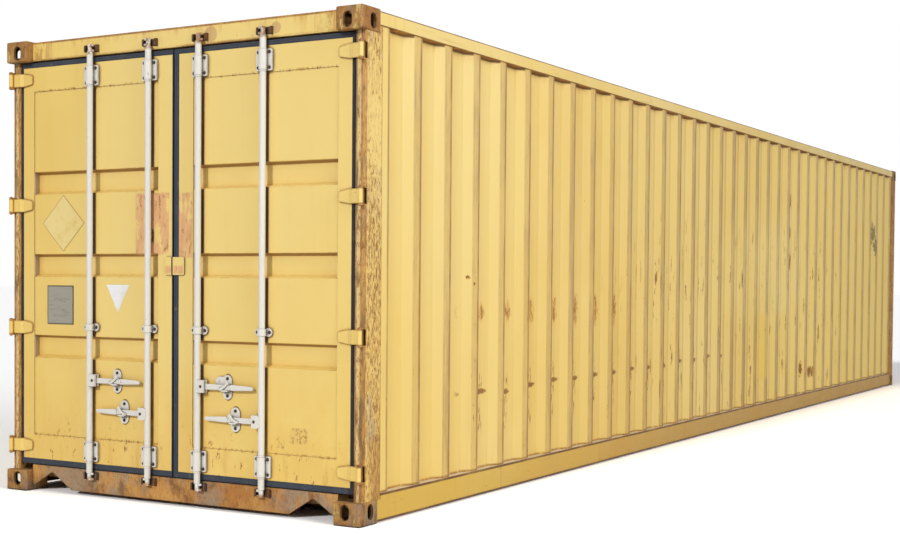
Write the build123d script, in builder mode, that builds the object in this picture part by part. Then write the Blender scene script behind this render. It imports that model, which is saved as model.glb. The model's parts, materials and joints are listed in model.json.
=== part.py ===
"""A 40 ft dry freight container: corrugated steel box with two locked doors.

Millimetres, +Z up. X runs across the box, Y along it with the doors at -Y.
The origin is on the ground under the middle of the box.
"""
import os

from build123d import *

# Overall box, over the corner castings
length = 12192.0
width = 2438.0
height = 2591.0

# Corner castings
casting_long = 178.0
casting_wide = 162.0
casting_high = 118.0
casting_end_wall = 28.0
casting_side_wall = 16.0
slot_long = 124.5
slot_wide = 63.5
slot_end_inset = 103.5
slot_side_inset = 89.5
hand_hole_tall = 79.5
hand_hole_wide = 51.0
hand_hole_lift = 28.5
hand_hole_end_inset = 101.5
hand_hole_side_inset = 89.0
casting_round = 14.0
casting_edge = 8.0
cut_over = 1.0

# Steel plate and sheet
plate = 6.0
channel_wall = 4.5
tube_wall = 3.0
sheet = 2.0
seat_gap = 0.3
swing_gap = 5.0

# Rails and posts
rail_inset = 6.0
rail_drop = 9.0
top_rail_high = 70.0
top_rail_wide = 60.0
bottom_rail_lift = 12.5
bottom_rail_top = 150.0
bottom_rail_flange = 48.0
bottom_rail_lip = 30.0
post_inset = 10.0
post_front = 46.0
post_back = 209.0
post_wide = 59.0
post_web = 41.0
post_step = 130.0
post_roll = 16.0
post_inner_roll = 8.0
front_post_face = 6.0
front_post_web = 50.0
front_post_side = 60.0
front_post_end = 40.0

# Door end frame
face_setback = 52.0
header_top_drop = 6.0
header_high = 112.0
header_deep = 110.0
header_lip_drop = 139.0
sill_bottom = 22.0
sill_top = 150.0
sill_deep = 110.0
sill_web_bottom = 70.0
notch_apex_inset = 152.0
notch_apex_z = 117.0
notch_inner_inset = 302.0
notch_round = 25.0

# Corrugated side walls
wall_inset = 14.0
wall_deep = 36.0
wall_slope = 68.0
wall_crest = 72.0
wall_margin = 72.0
wall_pitch_aim = 335.0

# Corrugated front wall
end_wall_inset = 12.0
end_wall_deep = 45.6
end_wall_slope = 18.0
end_wall_crest = 110.0
end_wall_pitch_aim = 250.0

# Roof
roof_drop = 7.0
roof_pan_deep = 20.0
roof_pitch = 209.0
roof_margin = 320.0
roof_pan_wide = 91.0
roof_pan_margin = 83.0
roof_pan_slope = 32.0
roof_overlap = 30.0

# Floor
floor_thick = 28.0
floor_side_gap = 9.0
cross_member_high = 100.0
cross_member_wide = 45.0
cross_member_pitch = 425.0
cross_member_margin = 200.0

# Door leaves
leaf_edge_inset = 91.0
leaf_centre_x = 24.0
leaf_sill_gap = 37.0
leaf_top_drop = 151.0
leaf_deep = 50.0
leaf_wall = 3.2
panel_inner_margin = 96.0
panel_outer_margin = 82.0
panel_foot = 140.0
panel_head = 137.0
panel_setback = 4.0
recess_shares = (0.2586, 0.4944, 0.7333)
recess_high = 132.0
recess_flat = 104.0
recess_deep = 36.0

# Gaskets
gasket_front = 4.0
gasket_hinge_side = 16.0
gasket_top_lip = 28.0
gasket_bottom_lip = 32.0
gasket_centre_lip = 2.0
gasket_gap = 10.0

# Hinges
pin_inset = 20.0
pin_depth = 20.0
pin_radius = 7.0
knuckle_radius = 12.0
pin_clearance = 0.3
hinge_lifts = (262.0, 946.0)
hinge_drops = (941.0, 219.0)
blade_high = 74.0
blade_tip_high = 50.0
blade_tip_round = 7.0
blade_taper_start = 10.0
blade_thick = 9.0
blade_reach = 146.0
blade_heel = 2.0
blade_bend_start = 14.0
blade_bend_end = 8.0
blade_bend_lean = 5.0
lug_thick = 10.0
lug_gap = 0.5
lug_weld = 2.0
slot_clear = 3.0
slot_deep = 22.0
slot_in = 9.0
pin_head = 4.0

# Locking rods
rod_outer_x = 596.0
rod_inner_x = 173.0
rod_depth = 27.0
rod_radius = 17.0
rod_wall = 3.0
cam_high = 40.0
cam_hook_high = 11.0
cam_bottom_z = 118.0
cam_top_drop = 75.0
cam_core_radius = 12.0
cam_plug = 8.0
cam_reach = 29.0
cam_nose = 8.0
keeper_gap = 36.0
keeper_thick = 12.0
keeper_high = 40.0
keeper_reach = 22.0
keeper_base = 2.0
keeper_round = 8.0

# Rod brackets
bracket_lift = 70.0
bracket_drop = 75.0
bracket_wide = 100.0
bracket_high = 112.0
bracket_plate = 16.0
bracket_round = 8.0
bracket_sleeve = 6.0
bracket_sleeve_high = 102.0
bracket_bush = 3.4
bracket_bush_out = 9.0
guide_height = 957.0
guide_wide = 106.0
guide_high = 44.0
guide_plate = 10.0
guide_round = 21.0
guide_sleeve_high = 36.0
rod_clearance = 0.4

# Handles
handle_upper_z = 660.0
handle_lower_z = 491.0
handle_reach = 370.0
handle_pin_reach = 36.0
handle_pin_radius = 5.0
handle_thick = 8.0
handle_root = 15.0
handle_waist = 12.5
handle_grip_start = 232.0
handle_grip_radius = 16.0
handle_grip_thick = 14.0
handle_tip = 10.5
handle_grip_round = 5.0
hub_high = 66.0
hub_wide = 56.0
hub_round = 16.0
hub_back = 4.0
hub_ear = 15.5
hub_gap = 0.5
catch_reach = 185.0
catch_wide = 60.0
catch_high = 130.0
catch_plate = 6.0
catch_ledge_wide = 44.0
catch_ledge_thick = 8.0
catch_ledge_reach = 36.0
hasp_radius = 28.0
hasp_out = 52.0
hasp_up = 27.0

# Centre lock plates
lock_plate_z = 1301.0
lock_plate_high = 97.0
lock_plate_reach = 66.0
lock_plate_thick = 8.0
lock_plate_round = 6.0

# Values worked out from the sizes above
half_length = length / 2
half_width = width / 2
door_y = -half_length
rail_half_length = half_length - casting_long
casting_inner_x = half_width - casting_wide
post_outer_x = half_width - post_inset
post_bottom = casting_high
post_top = height - casting_high
rail_outer_x = half_width - rail_inset
top_rail_top = height - rail_drop
top_rail_bottom = top_rail_top - top_rail_high
roof_top = height - roof_drop
wall_outer_x = half_width - wall_inset
wall_bottom = bottom_rail_top
wall_top = top_rail_bottom
floor_top = sill_top
floor_bottom = floor_top - floor_thick
face_y = door_y + face_setback
rod_y = door_y + rod_depth
pin_y = door_y + pin_depth
pin_x = half_width - pin_inset
header_bottom = height - header_high
header_lip_bottom = height - header_lip_drop
notch_apex_x = casting_inner_x - notch_apex_inset
notch_inner_x = casting_inner_x - notch_inner_inset
floor_half_width = wall_outer_x - wall_deep - sheet - floor_side_gap
leaf_edge_x = half_width - leaf_edge_inset
leaf_bottom = sill_top + leaf_sill_gap
leaf_top = height - leaf_top_drop
panel_inner_x = leaf_centre_x + panel_inner_margin
panel_outer_x = leaf_edge_x - panel_outer_margin
panel_bottom = leaf_bottom + panel_foot
panel_top = leaf_top - panel_head
recess_heights = [panel_bottom + share * (panel_top - panel_bottom) for share in recess_shares]
hinge_heights = [*hinge_lifts, *(height - drop for drop in hinge_drops)]
bracket_heights = (leaf_bottom + bracket_lift, leaf_top - bracket_drop)
cam_top_z = height - cam_top_drop
rod_bottom = cam_bottom_z + cam_high / 2
rod_top = cam_top_z - cam_high / 2
side_span = 2 * (half_length - post_back)
left_seal_edge = leaf_centre_x - gasket_centre_lip
right_seal_edge = left_seal_edge - gasket_gap

os.makedirs("parts", exist_ok=True)


def save(shape, label):
    """Label a finished piece and write it as its own file."""
    shape.label = label
    export_step(shape, f"parts/{label}.step")


def door_view(y):
    """Upright plane seen from the doors, X to the right and Z up."""
    return Plane((0, y, 0), x_dir=(1, 0, 0), z_dir=(0, -1, 0))


def corrugation(start, bays, pitch, crest, slope, deep, thick, margin_in, margin_out):
    """Points of one corrugated sheet, first along its outer face and back along the inner."""
    outer = [(start, 0.0)]
    at = start + margin_in
    for _ in range(bays):
        far = at + pitch - crest
        outer += [(at, 0.0), (at + slope, -deep), (far - slope, -deep), (far, 0.0)]
        at += pitch
    outer.append((at - crest + margin_out, 0.0))
    inner = [(along, across - thick) for along, across in reversed(outer)]
    return outer + inner


# Corner castings

def corner_casting(side, end, top):
    """One hollow casting with a slot in its top or bottom face and a hand hole in two sides."""
    centre_x = side * (half_width - casting_wide / 2)
    centre_y = end * (half_length - casting_long / 2)
    base = height - casting_high if top else 0.0
    outer_z = height if top else 0.0
    into = -1 if top else 1
    hole_z = outer_z + into * (hand_hole_lift + hand_hole_tall / 2)
    end_x = side * (half_width - hand_hole_side_inset)
    side_y = end * (half_length - hand_hole_end_inset)
    hollow_wide = casting_wide - 2 * casting_side_wall
    hollow_long = casting_long - 2 * casting_side_wall
    with BuildPart() as casting:
        with BuildSketch(Plane.XY.offset(base)):
            with Locations((centre_x, centre_y)):
                RectangleRounded(casting_wide, casting_long, casting_round)
        extrude(amount=casting_high)
        by_height = casting.edges().group_by(Axis.Z)
        fillet(by_height[0] + by_height[-1], casting_edge)
        with BuildSketch(Plane.XY.offset(base + casting_end_wall)):
            with Locations((centre_x, centre_y)):
                RectangleRounded(hollow_wide, hollow_long, casting_round)
        extrude(amount=casting_high - 2 * casting_end_wall, mode=Mode.SUBTRACT)
        with BuildSketch(Plane.XY.offset(outer_z)):
            with Locations((side * (half_width - slot_side_inset), end * (half_length - slot_end_inset))):
                SlotOverall(slot_long, slot_wide, rotation=90)
        extrude(amount=into * (casting_end_wall + cut_over), mode=Mode.SUBTRACT)
        with BuildSketch(door_view(end * half_length)):
            with Locations((end_x, hole_z)):
                SlotOverall(hand_hole_tall, hand_hole_wide, rotation=90)
        extrude(amount=end * (casting_side_wall + casting_round), mode=Mode.SUBTRACT)
        with BuildSketch(Plane((side * half_width, 0, 0), x_dir=(0, 1, 0), z_dir=(1, 0, 0))):
            with Locations((side_y, hole_z)):
                SlotOverall(hand_hole_tall, hand_hole_wide, rotation=90)
        extrude(amount=-side * (casting_side_wall + casting_round), mode=Mode.SUBTRACT)
    return casting.part


for row, top in (("bottom", False), ("top", True)):
    for place, end in (("door", -1), ("front", 1)):
        pair = Compound([corner_casting(side, end, top) for side in (-1, 1)])
        save(pair, f"{row}_{place}_castings")


# Corner posts

def door_post(side):
    """Hollow door post with its hinge lugs and hinge pins."""
    inner_x = post_outer_x - post_wide
    toward = Align.MAX if side > 0 else Align.MIN
    inward = Align.MIN if side > 0 else Align.MAX
    lug_wide = post_outer_x - lug_weld - pin_x + knuckle_radius
    with BuildPart() as post:
        with BuildSketch(Plane.XY.offset(post_bottom)) as profile:
            with BuildLine():
                Polyline(
                    (side * inner_x, door_y + post_front),
                    (side * post_outer_x, door_y + post_front),
                    (side * post_outer_x, door_y + post_back),
                    (side * (post_outer_x - post_web), door_y + post_back),
                    (side * (post_outer_x - post_web), door_y + post_step),
                    (side * inner_x, door_y + post_step),
                    close=True,
                )
            make_face()
            front = profile.vertices().group_by(Axis.Y)[0].sort_by(Axis.X)
            fillet(front[-1 if side > 0 else 0], post_roll)
            front = profile.vertices().group_by(Axis.Y)[0].sort_by(Axis.X)
            fillet(front[0 if side > 0 else -1], post_inner_roll)
            offset(amount=-plate, mode=Mode.SUBTRACT, kind=Kind.INTERSECTION)
        extrude(amount=post_top - post_bottom)
        with BuildSketch(Plane.XY.offset(post_top)):
            with Locations((side * post_outer_x, door_y + post_back)):
                Rectangle(plate, post_back - casting_long, align=(toward, Align.MAX))
                Rectangle(post_web, plate, align=(toward, Align.MAX))
        extrude(amount=top_rail_bottom - post_top)
        for z in hinge_heights:
            for base in (z - blade_high / 2 - lug_gap - lug_thick, z + blade_high / 2 + lug_gap):
                with BuildSketch(Plane.XY.offset(base)):
                    with Locations((side * pin_x, pin_y)):
                        Circle(knuckle_radius)
                    with Locations((side * (pin_x - knuckle_radius), pin_y)):
                        Rectangle(lug_wide, post_front - pin_depth + plate, align=(inward, Align.MIN))
                extrude(amount=lug_thick)
            with BuildSketch(Plane.XY.offset(z - blade_high / 2 - slot_clear)):
                with Locations((side * post_outer_x, door_y + post_front)):
                    Rectangle(2 * slot_in, 2 * slot_deep)
            extrude(amount=blade_high + 2 * slot_clear, mode=Mode.SUBTRACT)
            with BuildSketch(Plane.XY.offset(z - blade_high / 2 - lug_gap - lug_thick - pin_head)):
                with Locations((side * pin_x, pin_y)):
                    Circle(pin_radius)
            extrude(amount=blade_high + 2 * (lug_gap + lug_thick + pin_head))
    return post.part


def front_post(side):
    """Hollow front post between the front castings."""
    outer_y = half_length - front_post_face
    back_y = half_length - casting_long
    with BuildPart() as post:
        with BuildSketch(Plane.XY.offset(post_bottom)):
            with BuildLine():
                Polyline(
                    (side * casting_inner_x, outer_y),
                    (side * rail_outer_x, outer_y),
                    (side * rail_outer_x, back_y),
                    (side * (rail_outer_x - front_post_web), back_y),
                    (side * (rail_outer_x - front_post_web), outer_y - front_post_side),
                    (side * casting_inner_x, outer_y - front_post_end),
                    close=True,
                )
            make_face()
            offset(amount=-plate, mode=Mode.SUBTRACT, kind=Kind.INTERSECTION)
        extrude(amount=post_top - post_bottom)
    return post.part


for name, side in (("left", -1), ("right", 1)):
    save(door_post(side), f"{name}_door_post")
    save(front_post(side), f"{name}_front_post")


# Door header and sill

with BuildPart() as header:
    with BuildSketch(Plane.YZ.offset(-casting_inner_x)):
        with BuildLine():
            Polyline(
                (face_y, header_bottom),
                (face_y, height - header_top_drop),
                (face_y + header_deep, height - header_top_drop),
                (face_y + header_deep, header_lip_bottom),
                (face_y + leaf_deep + swing_gap, header_lip_bottom),
                (face_y + leaf_deep + swing_gap, header_bottom),
                close=True,
            )
        make_face()
        offset(amount=-channel_wall, mode=Mode.SUBTRACT, kind=Kind.INTERSECTION)
    extrude(amount=2 * casting_inner_x)
save(header.part, "door_header")

with BuildPart() as sill:
    with BuildSketch(door_view(face_y)) as sill_face:
        with BuildLine():
            Polyline(
                (-casting_inner_x, sill_bottom),
                (-notch_apex_x, notch_apex_z),
                (-notch_inner_x, sill_bottom),
                (notch_inner_x, sill_bottom),
                (notch_apex_x, notch_apex_z),
                (casting_inner_x, sill_bottom),
                (casting_inner_x, sill_top),
                (-casting_inner_x, sill_top),
                close=True,
            )
        make_face()
        fillet(sill_face.vertices().group_by(Axis.Y)[1], notch_round)
    extrude(amount=-plate)
    with BuildSketch(Plane.YZ.offset(-casting_inner_x)):
        with Locations((face_y, sill_top)):
            Rectangle(sill_deep, plate, align=(Align.MIN, Align.MAX))
        with Locations((face_y + sill_deep, sill_top)):
            Rectangle(plate, sill_top - sill_web_bottom, align=(Align.MAX, Align.MAX))
    extrude(amount=2 * casting_inner_x)
save(sill.part, "door_sill")


# Front end rails

with BuildPart() as front_header:
    with BuildSketch(Plane.YZ.offset(-casting_inner_x)):
        with Locations((half_length - front_post_face, top_rail_top)):
            Rectangle(top_rail_wide, top_rail_high, align=(Align.MAX, Align.MAX))
        offset(amount=-tube_wall, mode=Mode.SUBTRACT, kind=Kind.INTERSECTION)
    extrude(amount=2 * casting_inner_x)
save(front_header.part, "front_header")

with BuildPart() as front_sill:
    with BuildSketch(Plane.YZ.offset(-casting_inner_x)):
        with Locations((half_length - front_post_face, bottom_rail_top)):
            Rectangle(sill_deep, bottom_rail_top - bottom_rail_lift, align=(Align.MAX, Align.MAX))
        offset(amount=-channel_wall, mode=Mode.SUBTRACT, kind=Kind.INTERSECTION)
    extrude(amount=2 * casting_inner_x)
save(front_sill.part, "front_sill")


# Side rails

def top_rail(side):
    """Square tube between the top castings of one side."""
    with BuildPart() as rail:
        with BuildSketch(Plane.XZ.offset(-rail_half_length)):
            with Locations((side * (rail_outer_x - top_rail_wide / 2), top_rail_top - top_rail_high / 2)):
                Rectangle(top_rail_wide, top_rail_high)
            offset(amount=-tube_wall, mode=Mode.SUBTRACT, kind=Kind.INTERSECTION)
        extrude(amount=2 * rail_half_length)
    return rail.part


def bottom_rail(side):
    """Channel between the bottom castings of one side, open inwards."""
    high = bottom_rail_top - bottom_rail_lift
    align_x = Align.MAX if side > 0 else Align.MIN
    with BuildPart() as rail:
        with BuildSketch(Plane.XZ.offset(-rail_half_length)):
            with Locations((side * rail_outer_x, bottom_rail_lift)):
                Rectangle(channel_wall, high, align=(align_x, Align.MIN))
                Rectangle(bottom_rail_lip, channel_wall, align=(align_x, Align.MIN))
            with Locations((side * rail_outer_x, bottom_rail_top)):
                Rectangle(bottom_rail_flange, channel_wall, align=(align_x, Align.MAX))
        extrude(amount=2 * rail_half_length)
        with BuildSketch(Plane.XY.offset(post_bottom)):
            with Locations((side * rail_outer_x, door_y + casting_long)):
                Rectangle(bottom_rail_flange, post_back - casting_long, align=(align_x, Align.MIN))
        extrude(amount=bottom_rail_top - post_bottom, mode=Mode.SUBTRACT)
    return rail.part


# Corrugated walls

def side_wall(side):
    """Pressed side wall, corrugated along its whole length."""
    folded = side_span - 2 * wall_margin + wall_crest
    bays = round(folded / wall_pitch_aim)
    points = corrugation(
        -side_span / 2, bays, folded / bays, wall_crest, wall_slope,
        wall_deep, sheet, wall_margin, wall_margin + post_back - casting_long,
    )
    with BuildPart() as wall:
        with BuildSketch(Plane.XY.offset(wall_bottom)):
            with BuildLine():
                Polyline([(side * (wall_outer_x + across), along) for along, across in points], close=True)
            make_face()
        extrude(amount=wall_top - wall_bottom)
    return wall.part


for name, side in (("left", -1), ("right", 1)):
    save(top_rail(side), f"{name}_top_rail")
    save(bottom_rail(side), f"{name}_bottom_rail")
    save(side_wall(side), f"{name}_side_wall")

end_span = 2 * casting_inner_x
end_bays = round((end_span - end_wall_crest) / end_wall_pitch_aim)
end_pitch = (end_span - end_wall_crest) / end_bays
with BuildPart() as front_wall:
    with BuildSketch(Plane.XY.offset(bottom_rail_top)):
        with BuildLine():
            Polyline(
                [
                    (along, half_length - end_wall_inset + across)
                    for along, across in corrugation(
                        -end_span / 2, end_bays, end_pitch, end_wall_crest, end_wall_slope,
                        end_wall_deep, sheet, end_wall_crest, end_wall_crest,
                    )
                ],
                close=True,
            )
        make_face()
    extrude(amount=top_rail_bottom - bottom_rail_top)
save(front_wall.part, "front_wall")


# Roof

roof_half_width = rail_outer_x - top_rail_wide + roof_overlap
roof_start = door_y + face_setback + header_deep
roof_end = half_length - front_post_face
roof_pan_long = 2 * (roof_half_width - roof_pan_margin)
roof_pans = int((roof_end - roof_start - 2 * roof_margin) // roof_pitch) + 1
with BuildPart() as roof:
    with BuildSketch(Plane.XY.offset(roof_top)):
        with Locations((0, (roof_start + roof_end) / 2)):
            Rectangle(2 * roof_half_width, roof_end - roof_start)
        with GridLocations(2 * half_width, 2 * half_length, 2, 2):
            Rectangle(2 * (casting_wide + seat_gap), 2 * (casting_long + seat_gap), mode=Mode.SUBTRACT)
    extrude(amount=-sheet)
    with BuildSketch(Plane.XY.offset(roof_top - sheet)):
        with Locations((0, (roof_start + roof_end) / 2)):
            with GridLocations(0, roof_pitch, 1, roof_pans):
                Rectangle(roof_pan_long, roof_pan_wide + 2 * sheet)
    extrude(amount=-roof_pan_deep, taper=roof_pan_slope)
    with BuildSketch(Plane.XY.offset(roof_top)):
        with Locations((0, (roof_start + roof_end) / 2)):
            with GridLocations(0, roof_pitch, 1, roof_pans):
                Rectangle(roof_pan_long - 2 * sheet, roof_pan_wide)
    extrude(amount=-roof_pan_deep, taper=roof_pan_slope, mode=Mode.SUBTRACT)
save(roof.part, "roof")


# Floor

floor_start = face_y + sill_deep + seat_gap
floor_end = half_length - front_post_face - sill_deep - seat_gap
with BuildPart() as floor:
    with BuildSketch(Plane.XY.offset(floor_bottom + seat_gap)):
        with Locations((0, (floor_start + floor_end) / 2)):
            Rectangle(2 * floor_half_width, floor_end - floor_start)
    extrude(amount=floor_thick - seat_gap)
save(floor.part, "floor")

member_half = rail_outer_x - channel_wall - seat_gap
cross_members = int((floor_end - floor_start - 2 * cross_member_margin) // cross_member_pitch) + 1
with BuildPart() as members:
    with BuildSketch(Plane.YZ.offset(-member_half)):
        with GridLocations(cross_member_pitch, 0, cross_members, 1):
            with Locations((0, floor_bottom)):
                Rectangle(cross_member_wide, channel_wall, align=(Align.MIN, Align.MAX))
                Rectangle(channel_wall, cross_member_high, align=(Align.MIN, Align.MAX))
            with Locations((0, floor_bottom - cross_member_high)):
                Rectangle(cross_member_wide, channel_wall, align=(Align.MIN, Align.MIN))
    extrude(amount=2 * member_half)
save(members.part, "cross_members")


# Door leaves

def span(low, high):
    """Middle and size of a stretch."""
    return (low + high) / 2, high - low


def door_frame(side):
    """Welded tube frame of one leaf."""
    mid_x, wide = span(leaf_centre_x, leaf_edge_x)
    mid_z, high = span(leaf_bottom, leaf_top)
    hole_x, hole_wide = span(panel_inner_x, panel_outer_x)
    hole_z, hole_high = span(panel_bottom, panel_top)
    face = door_view(face_y)
    with BuildPart() as frame:
        with BuildSketch(face):
            with Locations((side * mid_x, mid_z)):
                Rectangle(wide, high)
            with Locations((side * hole_x, hole_z)):
                Rectangle(hole_wide, hole_high, mode=Mode.SUBTRACT)
        extrude(amount=-leaf_deep)
        with BuildSketch(face.offset(-leaf_wall)):
            with Locations((side * mid_x, mid_z)):
                Rectangle(wide - 2 * leaf_wall, high - 2 * leaf_wall)
            with Locations((side * hole_x, hole_z)):
                Rectangle(hole_wide + 2 * leaf_wall, hole_high + 2 * leaf_wall, mode=Mode.SUBTRACT)
        extrude(amount=-(leaf_deep - 2 * leaf_wall), mode=Mode.SUBTRACT)
    return frame.part


def door_panel(side):
    """Pressed panel of one leaf, with a trapezoid recess at each of three heights."""
    outer_y = face_y + panel_setback
    outer = [(outer_y, panel_bottom + seat_gap)]
    for z in recess_heights:
        outer += [
            (outer_y, z - recess_high / 2),
            (outer_y + recess_deep, z - recess_flat / 2),
            (outer_y + recess_deep, z + recess_flat / 2),
            (outer_y, z + recess_high / 2),
        ]
    outer.append((outer_y, panel_top - seat_gap))
    inner = [(y + sheet, z) for y, z in reversed(outer)]
    mid_x, wide = span(panel_inner_x + seat_gap, panel_outer_x - seat_gap)
    with BuildPart() as panel:
        with BuildSketch(Plane.YZ.offset(side * mid_x - wide / 2)):
            with BuildLine():
                Polyline(outer + inner, close=True)
            make_face()
        extrude(amount=wide)
    return panel.part


def door_gasket(side):
    """Rubber seal around the edge of one leaf; the right leaf's seal covers the middle gap."""
    centre_edge = left_seal_edge if side < 0 else -right_seal_edge
    mid_x, wide = span(centre_edge, leaf_edge_x + gasket_hinge_side)
    mid_z, high = span(leaf_bottom - gasket_bottom_lip, leaf_top + gasket_top_lip)
    hole_x, hole_wide = span(leaf_centre_x - seat_gap, leaf_edge_x + seat_gap)
    hole_z, hole_high = span(leaf_bottom - seat_gap, leaf_top + seat_gap)
    with BuildPart() as gasket:
        with BuildSketch(door_view(face_y + gasket_front)):
            with Locations((side * mid_x, mid_z)):
                Rectangle(wide, high)
            with Locations((side * hole_x, hole_z)):
                Rectangle(hole_wide, hole_high, mode=Mode.SUBTRACT)
        extrude(amount=-(leaf_deep - gasket_front))
    return gasket.part


def hinge_blade(side, z):
    """Forged hinge blade: a knuckle round the pin and a strap along the leaf's face."""
    strap_back = face_y - seat_gap
    knuckle_back = pin_y + knuckle_radius
    blade_end = pin_x - blade_reach
    with BuildPart() as blade:
        with BuildSketch(Plane.XY.offset(z - blade_high / 2)):
            with BuildLine():
                Polyline(
                    (side * (pin_x + blade_heel), knuckle_back - blade_thick),
                    (side * (pin_x + blade_heel), knuckle_back + blade_heel),
                    (side * (leaf_edge_x + blade_bend_start - blade_bend_lean), knuckle_back + blade_thick),
                    (side * (leaf_edge_x - blade_bend_end + blade_bend_lean), strap_back),
                    (side * blade_end, strap_back),
                    (side * blade_end, strap_back - blade_thick),
                    (side * (leaf_edge_x - blade_bend_end), strap_back - blade_thick),
                    (side * (leaf_edge_x + blade_bend_start), knuckle_back),
                    (side * (pin_x - knuckle_radius), knuckle_back - blade_heel),
                    close=True,
                )
            make_face()
            with Locations((side * pin_x, pin_y)):
                Circle(knuckle_radius)
                Circle(pin_radius + pin_clearance, mode=Mode.SUBTRACT)
        extrude(amount=blade_high)
        with BuildSketch(door_view(face_y)) as outline:
            with BuildLine():
                Polyline(
                    (side * blade_end, z - blade_tip_high / 2),
                    (side * (leaf_edge_x - blade_taper_start), z - blade_high / 2),
                    (side * half_width, z - blade_high / 2),
                    (side * half_width, z + blade_high / 2),
                    (side * (leaf_edge_x - blade_taper_start), z + blade_high / 2),
                    (side * blade_end, z + blade_tip_high / 2),
                    close=True,
                )
            make_face()
            tip = outline.vertices().group_by(Axis.X)[0 if side > 0 else -1]
            fillet(tip, blade_tip_round)
        extrude(amount=face_setback, mode=Mode.INTERSECT)
    return blade.part


def rod_bracket(x, z, base, corner, sleeve_high, bush_out):
    """Bearing bracket: a bolted base (wide, high, thick) and a bushed sleeve round the rod."""
    wide, high, thick = base
    housing_wide = 2 * (rod_radius + bracket_sleeve)
    housing_deep = face_setback - rod_depth - seat_gap
    bushed_high = sleeve_high + 2 * bush_out
    bore_high = max(high, bushed_high)
    with BuildPart() as bracket:
        with BuildSketch(door_view(face_y - seat_gap)):
            with Locations((x, z)):
                RectangleRounded(wide, high, corner)
        extrude(amount=thick)
        with BuildSketch(Plane.XY.offset(z - sleeve_high / 2)):
            with Locations((x, rod_y)):
                Circle(rod_radius + bracket_sleeve)
                Rectangle(housing_wide, housing_deep, align=(Align.CENTER, Align.MIN))
        extrude(amount=sleeve_high)
        with BuildSketch(Plane.XY.offset(z - bushed_high / 2)):
            with Locations((x, rod_y)):
                Circle(rod_radius + bracket_bush)
        extrude(amount=bushed_high)
        with BuildSketch(Plane.XY.offset(z - bore_high / 2)):
            with Locations((x, rod_y)):
                Circle(rod_radius + rod_clearance)
        extrude(amount=bore_high, mode=Mode.SUBTRACT)
    return bracket.part


def locking_rod(x, lever_side, handle_z):
    """Locking rod with a two-hooked cam at each end and the hub that carries its handle."""
    pin_at = x + lever_side * handle_pin_reach
    ear_offset = handle_thick / 2 + hub_gap
    nose_align = Align.MIN if lever_side > 0 else Align.MAX
    with BuildPart() as rod:
        with BuildSketch(Plane.XY.offset(rod_bottom)):
            with Locations((x, rod_y)):
                Circle(rod_radius)
        extrude(amount=rod_top - rod_bottom)
        with BuildSketch(Plane.XY.offset(rod_bottom + cam_plug)):
            with Locations((x, rod_y)):
                Circle(rod_radius - rod_wall)
        extrude(amount=rod_top - rod_bottom - 2 * cam_plug, mode=Mode.SUBTRACT)
        for z in (cam_bottom_z, cam_top_z):
            with BuildSketch(Plane.XY.offset(z - cam_high / 2)):
                with Locations((x, rod_y)):
                    Circle(cam_core_radius)
            extrude(amount=cam_high)
            for hook_base in (z - cam_high / 2, z + cam_high / 2 - cam_hook_high):
                with BuildSketch(Plane.XY.offset(hook_base)):
                    with Locations((x + lever_side * (cam_reach - cam_nose), rod_y)):
                        Circle(cam_nose)
                    with Locations((x, rod_y)):
                        Rectangle(cam_reach - cam_nose, 2 * cam_nose, align=(nose_align, Align.CENTER))
                extrude(amount=cam_hook_high)
        for into in (-1, 1):
            with BuildSketch(door_view(rod_y - into * ear_offset)) as ear:
                with Locations((x + lever_side * (hub_wide / 2 - hub_back), handle_z)):
                    Rectangle(hub_wide, hub_high)
                fillet(ear.vertices().group_by(Axis.X)[0 if lever_side > 0 else -1], hub_round)
            extrude(amount=into * hub_ear)
        with BuildSketch(door_view(rod_y - ear_offset - hub_ear)):
            with Locations((pin_at, handle_z)):
                Circle(handle_pin_radius)
        extrude(amount=-2 * (ear_offset + hub_ear))
    return rod.part


def handle(x, lever_side, z):
    """Locking handle: a flat blade with an eye at its pin, and a thicker grip that tapers to its tip."""
    pin_at = x + lever_side * handle_pin_reach
    grip_at = x + lever_side * handle_grip_start
    tip_at = x + lever_side * (handle_reach - handle_tip)
    with BuildPart() as lever:
        with BuildSketch(door_view(rod_y + handle_grip_thick / 2)):
            with Locations((grip_at, z)):
                Circle(handle_grip_radius)
            with Locations((tip_at, z)):
                Circle(handle_tip)
            make_hull()
        extrude(amount=handle_grip_thick)
        by_depth = lever.edges().group_by(Axis.Y)
        fillet(by_depth[0] + by_depth[-1], handle_grip_round)
        with BuildSketch(door_view(rod_y + handle_thick / 2)):
            with Locations((pin_at, z)):
                Circle(handle_root)
            with Locations((grip_at, z)):
                Circle(handle_waist)
            make_hull()
            with Locations((pin_at, z)):
                Circle(handle_pin_radius + pin_clearance, mode=Mode.SUBTRACT)
        extrude(amount=handle_thick)
    return lever.part


def handle_catch(x, lever_side, z, with_hasp):
    """Oval plate on the leaf with the ledge that the handle rests on, one of them with a hasp ear."""
    at = x + lever_side * catch_reach
    along = catch_reach - catch_ledge_wide / 2 - handle_pin_reach
    taper = (handle_root - handle_waist) / (handle_grip_start - handle_pin_reach)
    ledge_top = z - handle_root + taper * along - seat_gap
    seat = door_view(face_y + panel_setback - seat_gap)
    with BuildPart() as catch:
        with BuildSketch(seat):
            with Locations((at, z)):
                SlotOverall(catch_high, catch_wide, rotation=90)
        extrude(amount=catch_plate)
        with BuildSketch(seat):
            with Locations((at, ledge_top)):
                Rectangle(catch_ledge_wide, catch_ledge_thick, align=(Align.CENTER, Align.MAX))
        extrude(amount=catch_ledge_reach)
        if with_hasp:
            with BuildSketch(seat):
                with Locations((at, z + hasp_up), (at - lever_side * hasp_out, z + hasp_up)):
                    Circle(hasp_radius)
                make_hull()
            extrude(amount=catch_plate)
    return catch.part


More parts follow.
